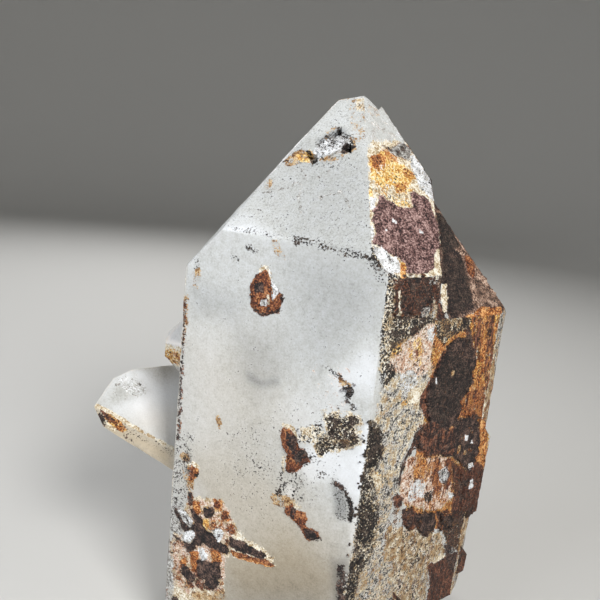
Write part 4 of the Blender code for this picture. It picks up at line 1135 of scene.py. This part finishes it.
# Each stain's tones, from its hollows and shaded grains to its brightest grains
STAIN_COLOURS = {
    "cream": ("a48b68", "d3c3a4", "e8dfcc", "f6f1e4"),
    "pinkish": ("b58a6e", "dac0ac", "eadacd", "f5eee7"),
    "tan": ("5f4027", "9a7244", "b99668", "d8c09a"),
    "ochre": ("a8692a", "dba850", "f0cd80", "fbebbb"),
    "orange": ("502810", "975222", "c67d3e", "eaba7c"),
    "rust": ("34170e", "683620", "8c502e", "bb8557"),
    "redbrown": ("221210", "44271c", "643a28", "92614a"),
    "purple": ("281819", "614240", "876863", "bd9e98"),
    "charcoal": ("2e211b", "6b5042", "9c7c69", "cfb4a0"),
    "olive": ("2a2119", "4c3c2a", "6a573c", "8d7a58"),
    "grey": ("5a554f", "94908a", "b8b6b1", "dcdcda"),
    "white": ("a8a6a2", "d9dadc", "edf0f3", "fbfcfd"),
    "dark": ("0e0808", "251917", "3d2c28", "6f584c"),
    "black": ("070505", "17110f", "2a211d", "57493f"),
    # Painted glints: tiny white highlights
    "glint": ("d0d0d0", "f0f0f0", "ffffff", "ffffff"),
}
# How far each stain's border wanders, by coarse, fine and streaked noise
STAIN_NOISE = {
    "cream": (7.0, 5.0, 4.0), "pinkish": (7.0, 3.5, 3.0), "tan": (7.0, 5.5, 2.0), "ochre": (7.0, 5.0, 1.5),
    "orange": (6.0, 4.5, 7.0), "rust": (6.0, 4.5, 7.0), "redbrown": (6.5, 4.0, 5.0),
    "purple": (3.0, 3.0, 0.0), "charcoal": (4.0, 4.0, 0.0), "olive": (6.0, 4.0, 1.5), "grey": (6.0, 5.0, 1.5),
    "white": (5.5, 5.5, 1.5), "dark": (6.5, 5.5, 1.5), "black": (4.0, 8.5, 1.0), "glint": (1.0, 7.0, 0.0),
}


# Noise of the surface colours, lumps of about 1.8, 0.4 and 1 mm: scale for metres, detail
GRAIN = {"coarse": (560.0, 5.0), "fine": (2400.0, 3.0), "streak": (1000.0, 4.0)}
# How much the fine and the coarse noise spread the tones, three patterns for stains and one for the mineral
CONTRASTS = ((2.9, 2.1), (2.9, 2.1), (2.9, 2.1), (1.3, 1.1))
FIBRE_CONTRAST = 2.4
# How streaks are drawn out upwards
STREAK_STRETCH = (1.0, 1.0, 0.2)
# Hair cracks between cells of about 0.7 mm
CRACK_SCALE = 1500.0
CRACK_WIDTH = 0.07
# Fine noise values between which they fade in
CRACK_PATCHES = (-0.04, 0.12)
CRACK_COLOUR = "6f6c66"
# Colour of full painted light, which also gives the quartz's milky veils
PAINTED_LIGHT_AND_VEIL_COLOUR = "f3f6fb"
# What full painted shade, which also gives grey clouds, and full warmth multiply the base colour by
SHADE_TINT = (0.34, 0.35, 0.37, 1.0)
WARM_TINT = (0.84, 0.70, 0.52, 1.0)
# Half width of the step that turns a field into cover, and the roughness and bump under stains
STEP = 0.35
STAIN_ROUGHNESS = 0.75
STAIN_BUMP = 0.9
BUMP_HEIGHT = 0.6 * MM


def split_noise(tree, place):
    """Three channels of each noise of the surface colours, each centred on 0."""
    stretched = node(tree, "ShaderNodeMapping", {"Vector": place, "Scale": STREAK_STRETCH}).outputs[0]
    channels = {}
    for label, (scale, detail) in GRAIN.items():
        source = node(tree, "ShaderNodeTexNoise", {
            "Vector": stretched if label == "streak" else place, "Scale": scale, "Detail": detail,
            "Roughness": 0.6})
        split = node(tree, "ShaderNodeSeparateColor", {0: source.outputs["Color"]})
        channels[label] = [
            node(tree, "ShaderNodeMath", {0: split.outputs[i], 1: -0.5}, operation="ADD").outputs[0]
            for i in range(3)
        ]
    return channels


def read_paint(tree):
    """The painted field of every stain, tone and touch."""
    fields = {}
    for attribute, kinds in PAINT_SETS.items():
        read = node(tree, "ShaderNodeAttribute", attribute_name=attribute).outputs["Vector"]
        split = node(tree, "ShaderNodeSeparateXYZ", {0: read})
        for i, kind in enumerate(kinds):
            fields[kind] = split.outputs[i]
    return fields


def mix_grain(tree, channels, fibres):
    """What drives the tone ramps: plain grains, and grains drawn out into fibres."""
    grains = []
    looks = []
    for i, (fine, coarse) in enumerate(CONTRASTS):
        value = node(tree, "ShaderNodeMath", {0: channels["fine"][i % 3], 1: fine, 2: 0.5},
                     operation="MULTIPLY_ADD").outputs[0]
        value = node(tree, "ShaderNodeMath", {0: channels["coarse"][i - 2], 1: coarse, 2: value},
                     operation="MULTIPLY_ADD").outputs[0]
        grains.append(value)
        looks.append(node(tree, "ShaderNodeMath", {0: fibres[i % 3], 1: FIBRE_CONTRAST, 2: value},
                          operation="MULTIPLY_ADD").outputs[0])
    return grains, looks


def mineral_colour(tree, slot, look, place, fine, fields):
    """Colour of the bare mineral: its tones, hair cracks, warmth, and painted light and shade that also give
    its pale and dark veils.
    """
    ramp = node(tree, "ShaderNodeValToRGB", {0: look})
    spread_tones(ramp, f"{slot}_mineral", MATERIALS[slot][1])
    cells = node(tree, "ShaderNodeTexVoronoi", {"Vector": place, "Scale": CRACK_SCALE},
                 feature="DISTANCE_TO_EDGE")
    lines = node(tree, "ShaderNodeMapRange",
                 {0: cells.outputs[0], 1: 0.0, 2: CRACK_WIDTH, 3: 1.0, 4: 0.0}).outputs[0]
    patches = node(tree, "ShaderNodeMapRange",
                   {0: fine, 1: CRACK_PATCHES[0], 2: CRACK_PATCHES[1]}).outputs[0]
    marks = node(tree, "ShaderNodeMath", {0: lines, 1: patches}, operation="MULTIPLY").outputs[0]
    marks = node(tree, "ShaderNodeMath", {0: marks, 1: fields["grit"]}, operation="MULTIPLY").outputs[0]
    colour = node(tree, "ShaderNodeMix", {0: marks, 6: ramp.outputs[0], 7: rgba(CRACK_COLOUR)},
                  data_type="RGBA").outputs[2]
    lighter = node(tree, "ShaderNodeMapRange", {0: fields["painted_light_and_cloud"], 1: 0.0, 2: 1.0}).outputs[0]
    darker = node(tree, "ShaderNodeMapRange", {0: fields["painted_light_and_cloud"], 1: 0.0, 2: -1.0}).outputs[0]
    colour = node(tree, "ShaderNodeMix", {0: lighter, 6: colour, 7: rgba(PAINTED_LIGHT_AND_VEIL_COLOUR)},
                  data_type="RGBA").outputs[2]
    for amount, tint in ((darker, SHADE_TINT), (fields["warm"], WARM_TINT)):
        colour = node(tree, "ShaderNodeMix", {0: amount, 6: colour, 7: tint},
                      data_type="RGBA", blend_type="MULTIPLY").outputs[2]
    return colour


def painted_material(slot):
    """A mineral surface of its own tones, with every stain laid over it in order."""
    name, _, roughness, bump = MATERIALS[slot]
    made = bpy.data.materials.new(name)
    made.use_nodes = True
    tree = made.node_tree
    shader = tree.nodes["Principled BSDF"]
    place = node(tree, "ShaderNodeTexCoord").outputs["Object"]
    channels = split_noise(tree, place)
    coarse, fine = channels["coarse"], channels["fine"]
    fields = read_paint(tree)
    fibres = [
        node(tree, "ShaderNodeMath", {0: source, 1: fields["fibre"]}, operation="MULTIPLY").outputs[0]
        for source in channels["streak"]
    ]
    grains, looks = mix_grain(tree, channels, fibres)
    colour = mineral_colour(tree, slot, looks[-1], place, fine[1], fields)
    covered = None
    for i, kind in enumerate(PAINTED):
        field = fields[kind]
        for source, gain in zip((coarse[i % 3], fine[(i + 1) % 3], fibres[(i + 2) % 3]), STAIN_NOISE[kind]):
            field = node(tree, "ShaderNodeMath", {0: source, 1: gain, 2: field},
                         operation="MULTIPLY_ADD").outputs[0]
        mask = node(tree, "ShaderNodeMapRange", {0: field, 1: -STEP, 2: STEP}).outputs[0]
        ramp = node(tree, "ShaderNodeValToRGB", {0: (grains if kind in GRANULAR else looks)[i % 3]})
        spread_tones(ramp, kind, STAIN_COLOURS[kind])
        colour = node(tree, "ShaderNodeMix", {0: mask, 6: colour, 7: ramp.outputs[0]},
                      data_type="RGBA").outputs[2]
        covered = mask if covered is None else node(
            tree, "ShaderNodeMath", {0: covered, 1: mask}, operation="MAXIMUM").outputs[0]
    tree.links.new(colour, shader.inputs["Base Color"])
    gloss = node(tree, "ShaderNodeMapRange", {0: covered, 3: roughness, 4: STAIN_ROUGHNESS}).outputs[0]
    tree.links.new(gloss, shader.inputs["Roughness"])
    height = node(tree, "ShaderNodeMath", {0: fine[2], 1: 0.5, 2: coarse[2]},
                  operation="MULTIPLY_ADD").outputs[0]
    height = node(tree, "ShaderNodeMath", {0: fibres[0], 1: 1.2, 2: height},
                  operation="MULTIPLY_ADD").outputs[0]
    rise = node(tree, "ShaderNodeMapRange", {0: covered, 3: bump, 4: max(bump, STAIN_BUMP)}).outputs[0]
    rise = node(tree, "ShaderNodeMath", {0: fields["grit"], 1: 0.15, 2: rise},
                operation="MULTIPLY_ADD").outputs[0]
    swell = node(tree, "ShaderNodeMath", {0: height, 1: rise}, operation="MULTIPLY").outputs[0]
    lift = node(tree, "ShaderNodeBump", {"Height": swell, "Distance": BUMP_HEIGHT, "Strength": 1.0})
    tree.links.new(lift.outputs[0], shader.inputs["Normal"])
    return made


# Name, tones from dark to light, roughness, bump
MATERIALS = {
    # Grown faces with a dull frost: cloudy white with grey veils, painted light and shade laid on them, and a
    # soft sheen at a grazing angle
    "quartz": ("Milky quartz, naturally frosted growth faces",
               ("b1b2af", "c1c2bf", "c9cbca", "d1d3d4"), 0.42, 0.12),
    # Plum-brown skin with slanted ridges that catch small lights
    "hematite": ("Hematite crust, striated as grown", ("2b1a16", "4a2f28", "664540", "8d6a60"), 0.72, 0.9),
    # Lumpy dull brown to orange, like rust flakes
    "rust": ("Goethite crust, earthy", ("2f160d", "57301c", "7c482a", "a8764a"), 0.8, 1.0),
    # Yellow powder, the palest and dullest of the crusts
    "ochre": ("Limonite crust, powdery", ("9a5f20", "cf9a42", "e6bd6c", "f6dfa6"), 0.85, 0.9),
    # Sooty black grains that swallow the light
    "manganese": ("Manganese oxide crust, sooty", ("100b0a", "2a201b", "43352d", "6f5c4e"), 0.75, 1.0),
}


def material(slot):
    """A slot's material, made at its first use."""
    return bpy.data.materials.get(MATERIALS[slot][0]) or painted_material(slot)


class FloaterSizes(bpy.types.PropertyGroup):
    """Sizes that shape the surfaces."""

    wear: bpy.props.FloatProperty(
        name="Edge wear", description="How far the crystal edges are worn back",
        default=0.22 * MM, min=0.0, max=1.0 * MM, precision=5, unit="LENGTH", subtype="DISTANCE")
    crust_grid: bpy.props.FloatProperty(
        name="Crust detail", description="Spacing of the points on a crust",
        default=0.2 * MM, min=0.1 * MM, max=1.0 * MM, precision=5, unit="LENGTH", subtype="DISTANCE")
    crust_build: bpy.props.FloatProperty(
        name="Crust thickness", description="Thickness of the crusts against the real ones",
        default=1.0, min=0.3, max=1.4, subtype="FACTOR")


class FloaterColours(bpy.types.PropertyGroup):
    """Main tone of every stain and every mineral; their other tones follow it."""

    __annotations__ = {
        key: bpy.props.FloatVectorProperty(
            name=key.replace("_", " ").capitalize(), description="Main tone of this stain or mineral",
            default=linear(tones[MAIN_TONE]), min=0.0, max=1.0, size=3, subtype="COLOR")
        for key, tones in (
            *STAIN_COLOURS.items(), *((f"{slot}_mineral", row[1]) for slot, row in MATERIALS.items()))
    }


# Welding distance and the angle under which neighbouring CAD faces are one flat face
WELD = 0.002
FLAT = math.radians(0.5)
# Millimetres over which an edge's wear fades, and height under which the foot stays as it stands
WEAR_REACH = 0.35
FOOT = 0.35
# Edges blunter than this are shaded smooth, on the crystals and on the crusts
CRYSTAL_SMOOTH = math.radians(40)
CRUST_SMOOTH = math.radians(60)


class FLOATER_OT_crystals(bpy.types.Operator):
    """Refill the crystal solid with even triangles, give its faces relief and lay the stains on"""

    bl_idname = "floater.crystals"
    bl_label = "Quartz crystals"

    def execute(self, context):
        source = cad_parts["quartz_crystals"]
        bm = bmesh.new()
        bm.from_mesh(source.data)
        bmesh.ops.transform(bm, matrix=ROW.inverted(), verts=bm.verts)
        bmesh.ops.remove_doubles(bm, verts=bm.verts, dist=WELD)
        bmesh.ops.dissolve_limit(bm, angle_limit=FLAT, verts=bm.verts, edges=bm.edges)
        bmesh.ops.recalc_face_normals(bm, faces=bm.faces)
        bm.normal_update()
        bm.faces.index_update()
        bm.edges.index_update()
        points, triangles, patches = even_mesh(bm)
        paint = blank_paint(len(points))
        shift = np.zeros_like(points)
        outward = np.zeros_like(points)
        share = np.zeros(len(points))
        for index, normal, name in patches:
            spots = points[index]
            shift[index] += relief(spots, normal, name)[:, None] * normal
            outward[index] += normal
            share[index] += 1
            paint_patch(paint, index, spots, normal, name)
        shift /= share[:, None]
        outward /= np.linalg.norm(outward, axis=1)[:, None] + 1e-9
        wear = context.scene.floater_sizes.wear / MM
        gap = edge_distance(bm, points)
        bite = np.clip(0.45 + 0.8 * rough(points, *NOISE["wear"]), 0.0, 1.6)
        shift -= outward * (wear * bite * np.exp(-(gap / WEAR_REACH) ** 2))[:, None]
        shift[points[:, 2] < FOOT] = 0.0
        bm.free()
        mesh = bpy.data.meshes.new("quartz")
        mesh.from_pydata(in_box(to_row(points + shift)).tolist(), [], triangles.tolist())
        mesh.update()
        store_paint(mesh, paint)
        piece = new_piece("milky_quartz", mesh)
        activate(piece)
        bpy.ops.object.shade_smooth_by_angle(angle=CRYSTAL_SMOOTH)
        mesh.materials.append(material("quartz"))
        settle(piece, "quartz", "quartz_crystals")
        self.report({"INFO"}, f"{len(triangles)} triangles")
        return {"FINISHED"}


# Crusts: material slot, thickness, lump size and height, and how much the edge wanders, in millimetres
CRUST_BUILD = {
    "rust_patch": ("rust", 0.4, 1.0, 0.12, 0.35),
    "red_plate_upper": ("rust", 0.45, 1.0, 0.14, 0.35),
    "red_plate_lower": ("rust", 0.35, 1.0, 0.14, 0.4),
    "black_crust": ("manganese", 0.25, 0.5, 0.2, 1.0),
    "dark_curl": ("manganese", 0.25, 0.7, 0.12, 0.5),
    "star_crust": ("hematite", 0.3, 1.0, 0.12, 0.45),
    "star_bead": ("rust", 0.45, 0.9, 0.14, 0.3),
    "hematite_plate": ("hematite", 0.4, 0.6, 0.15, 0.3),
    "ochre_crust": ("ochre", 0.25, 0.8, 0.14, 0.6),
    "brown_crust": ("rust", 0.4, 0.9, 0.2, 0.6),
    "dark_edge_crust": ("manganese", 0.22, 0.5, 0.2, 1.1),
    "granular_crust": ("hematite", 0.35, 0.8, 0.16, 0.35),
    "charcoal_band": ("manganese", 0.4, 0.9, 0.16, 0.6),
    "rust_band": ("rust", 0.3, 0.9, 0.2, 0.8),
    "brown_knob": ("rust", 0.7, 1.2, 0.22, 0.5),
}


# How far a crust's edge dips under the face, and the thickness of its shell
DIP = 0.35
SHELL = 0.4 * MM
# Room left around a crust's outlines for its ragged edge, millimetres
CRUST_ROOM = 1.0


def build_crust(name, step, build):
    """A rugged crust on its crystal face, thinning out to a ragged edge that dips under the quartz."""
    face = CRUSTS[name][0]
    islands, holes = ([on_face(face, outline) for outline in outlines] for outlines in CRUSTS[name][1:])
    slot, thickness, lump, height, wander = CRUST_BUILD[name]
    thickness *= build
    normal, across, up, distance = face_axes(face)
    corners = np.concatenate(islands)
    low, high = corners.min(0) - CRUST_ROOM, corners.max(0) + CRUST_ROOM
    size = high - low
    deselect()
    bpy.ops.mesh.primitive_grid_add(
        x_subdivisions=int(size[0] / step), y_subdivisions=int(size[1] / step), size=1.0)
    piece = bpy.context.object
    piece.name = name.replace("_", "-")
    mesh = piece.data
    co = np.zeros(len(mesh.vertices) * 3)
    mesh.vertices.foreach_get("co", co)
    co = co.reshape(-1, 3)
    spots = low + (co[:, :2] + 0.5) * size
    base = np.outer(spots[:, 0], across) + np.outer(spots[:, 1], up) + normal * distance
    field = np.max([inside_by(spots, ring) for ring in islands], 0)
    for ring in holes:
        field = np.minimum(field, -inside_by(spots, ring))
    field += wander * (rough(base, *NOISE["coast"]) + 1.2 * rough(base, *NOISE["teeth"]))
    body = smooth(field, -0.05, 0.4 + 0.2 * thickness)
    lumps = rough(base, lump, *LUMP_NOISE)
    if name == "hematite_plate":
        # Slanted striations, 0.55 mm apart
        slanted = (spots[:, 0] * 0.35 + spots[:, 1]) / 0.55 + 0.8 * rough(base, *NOISE["ridges"])
        lumps = 0.7 * np.sin(2 * math.pi * slanted) + 0.6 * rough(base, *NOISE["ridge_grit"])
    rise = -DIP + body * (thickness + DIP + height * lumps)
    rise += relief(base, normal, face)
    points = base + normal * rise[:, None]
    mesh.vertices.foreach_set("co", in_box(to_row(points)).ravel())
    paint = blank_paint(len(points))
    paint_face(paint, np.arange(len(points)), spots, face)
    store_paint(mesh, paint)
    activate(piece)
    bpy.ops.object.mode_set(mode="EDIT")
    bpy.ops.mesh.select_mode(type="VERT")
    bpy.ops.mesh.select_all(action="DESELECT")
    bpy.ops.object.mode_set(mode="OBJECT")
    mesh.vertices.foreach_set("select", field < -DIP)
    bpy.ops.object.mode_set(mode="EDIT")
    bpy.ops.mesh.delete(type="VERT")
    bpy.ops.object.mode_set(mode="OBJECT")
    shell = piece.modifiers.new("Thickness", "SOLIDIFY")
    shell.thickness = SHELL
    shell.offset = -1.0
    bpy.ops.object.modifier_apply(modifier=shell.name)
    bpy.ops.object.shade_smooth_by_angle(angle=CRUST_SMOOTH)
    mesh.materials.append(material(slot))
    settle(piece, slot, name)


def grow_crusts(context, faces):
    """Builds the crusts that lie on these faces, with the sizes chosen in the panel."""
    sizes = context.scene.floater_sizes
    for name, (face, _, _) in CRUSTS.items():
        if face in faces:
            build_crust(name, sizes.crust_grid / MM, sizes.crust_build)
    return {"FINISHED"}


class FLOATER_OT_front_crusts(bpy.types.Operator):
    """Grow the rust, hematite and manganese crusts on the broad front face"""

    bl_idname = "floater.front_crusts"
    bl_label = "Front crusts"

    def execute(self, context):
        return grow_crusts(context, ("front",))


class FLOATER_OT_upper_crusts(bpy.types.Operator):
    """Grow the hematite, ochre and granular crusts on the two points' right-hand faces"""

    bl_idname = "floater.upper_crusts"
    bl_label = "Upper crusts"

    def execute(self, context):
        return grow_crusts(context, ("upper_right", "second_upper"))


class FLOATER_OT_wall_crusts(bpy.types.Operator):
    """Grow the dark bands and brown knobs on the two right-hand walls"""

    bl_idname = "floater.wall_crusts"
    bl_label = "Wall crusts"

    def execute(self, context):
        return grow_crusts(context, ("right", "second_right"))


# The floor's rim, ring by ring: how much wider than the last and how many metres higher
FLOOR_RINGS = ((1.12, 0.01), (1.12, 0.05), (1.10, 0.12), (1.06, 0.22), (1.02, 0.40), (1.0, 0.9))
FLOOR_RADIUS = 0.9
FLOOR_DROP = 0.2 * MM
FLOOR_COLOUR = "c9c8c5"
SKY_COLOUR = "d8dbe0"
SKY_STRENGTH = 0.28
# Place in metres, size in metres, power in watts, colour
LIGHTS = {
    "key": ((0.24, -0.44, 0.48), 0.22, 4.1, "fffefc"),
    "fill": ((-0.50, -0.30, 0.28), 0.4, 2.3, "f2f7ff"),
    "back": ((-0.15, 0.5, 0.45), 0.4, 2.0, "ffffff"),
}
LIGHTS_AIM = (0, 0, 0.08)


class FLOATER_OT_stage(bpy.types.Operator):
    """Add the floor, the lights and the camera"""

    bl_idname = "floater.stage"
    bl_label = "Stage"

    def execute(self, context):
        scene = context.scene
        deselect()
        bpy.ops.mesh.primitive_circle_add(
            vertices=96, radius=FLOOR_RADIUS, fill_type="NGON", location=(0, 0, -FLOOR_DROP))
        floor = bpy.context.object
        floor.name = "studio_floor"
        bpy.ops.object.mode_set(mode="EDIT")
        bpy.ops.mesh.select_mode(type="EDGE")
        for widen, lift in FLOOR_RINGS:
            bpy.ops.mesh.extrude_region_move(TRANSFORM_OT_translate={"value": (0.0, 0.0, lift)})
            bpy.ops.transform.resize(value=(widen, widen, 1.0))
        bpy.ops.object.mode_set(mode="OBJECT")
        bpy.ops.object.shade_smooth()
        card = bpy.data.materials.new("Pale matt card")
        card.use_nodes = True
        shader = card.node_tree.nodes["Principled BSDF"]
        shader.inputs["Base Color"].default_value = rgba(FLOOR_COLOUR)
        shader.inputs["Roughness"].default_value = 0.9
        floor.data.materials.append(card)
        world = bpy.data.worlds.new("Studio")
        scene.world = world
        world.use_nodes = True
        sky = world.node_tree.nodes["Background"]
        sky.inputs["Color"].default_value = rgba(SKY_COLOUR)
        sky.inputs["Strength"].default_value = SKY_STRENGTH
        for name, (place, size, power, colour) in LIGHTS.items():
            data = bpy.data.lights.new(name, "AREA")
            data.size = size
            data.energy = power
            data.color = linear(colour)
            lamp = bpy.data.objects.new(name, data)
            scene.collection.objects.link(lamp)
            aim = Vector(LIGHTS_AIM) - Vector(place)
            lamp.matrix_world = Matrix.Translation(place) @ aim.to_track_quat("-Z", "Y").to_matrix().to_4x4()
            lamp.visible_camera = False
        lens = bpy.data.cameras.new("camera")
        lens.sensor_width = SENSOR_WIDTH
        lens.lens = LENS
        lens.clip_start = 0.005
        lens.clip_end = 20.0
        camera = bpy.data.objects.new("camera", lens)
        scene.collection.objects.link(camera)
        camera.matrix_world = Matrix.Translation(CAMERA_PLACE) @ Matrix(
            (CAMERA_RIGHT, CAMERA_UP, -Vector(CAMERA_AHEAD))).transposed().to_4x4()
        scene.camera = camera
        scene.view_settings.view_transform = "Standard"
        return {"FINISHED"}


class FLOATER_PT_panel(bpy.types.Panel):
    """The steps that build the specimen"""

    bl_idname = "FLOATER_PT_panel"
    bl_label = "Quartz floater"
    bl_space_type = "VIEW_3D"
    bl_region_type = "UI"
    bl_category = "Floater"

    def draw(self, context):
        for group in (context.scene.floater_sizes, context.scene.floater_colours):
            for key in group.__annotations__:
                self.layout.prop(group, key)
        for step in STEPS:
            self.layout.operator(step.bl_idname)


# In building order
STEPS = (FLOATER_OT_crystals, FLOATER_OT_front_crusts, FLOATER_OT_upper_crusts, FLOATER_OT_wall_crusts,
         FLOATER_OT_stage)
CLASSES = (FloaterSizes, FloaterColours, *STEPS, FLOATER_PT_panel)


def register():
    """Adds the classes and the scene's settings."""
    for each in CLASSES:
        bpy.utils.register_class(each)
    bpy.types.Scene.floater_sizes = bpy.props.PointerProperty(type=FloaterSizes)
    bpy.types.Scene.floater_colours = bpy.props.PointerProperty(type=FloaterColours)


def unregister():
    """Takes them away again."""
    del bpy.types.Scene.floater_sizes, bpy.types.Scene.floater_colours
    for each in reversed(CLASSES):
        bpy.utils.unregister_class(each)


def main():
    """Builds the specimen and its stage."""
    register()
    bpy.ops.floater.crystals()
    bpy.ops.floater.front_crusts()
    bpy.ops.floater.upper_crusts()
    bpy.ops.floater.wall_crusts()
    bpy.ops.floater.stage()


if __name__ == "__main__":
    main()
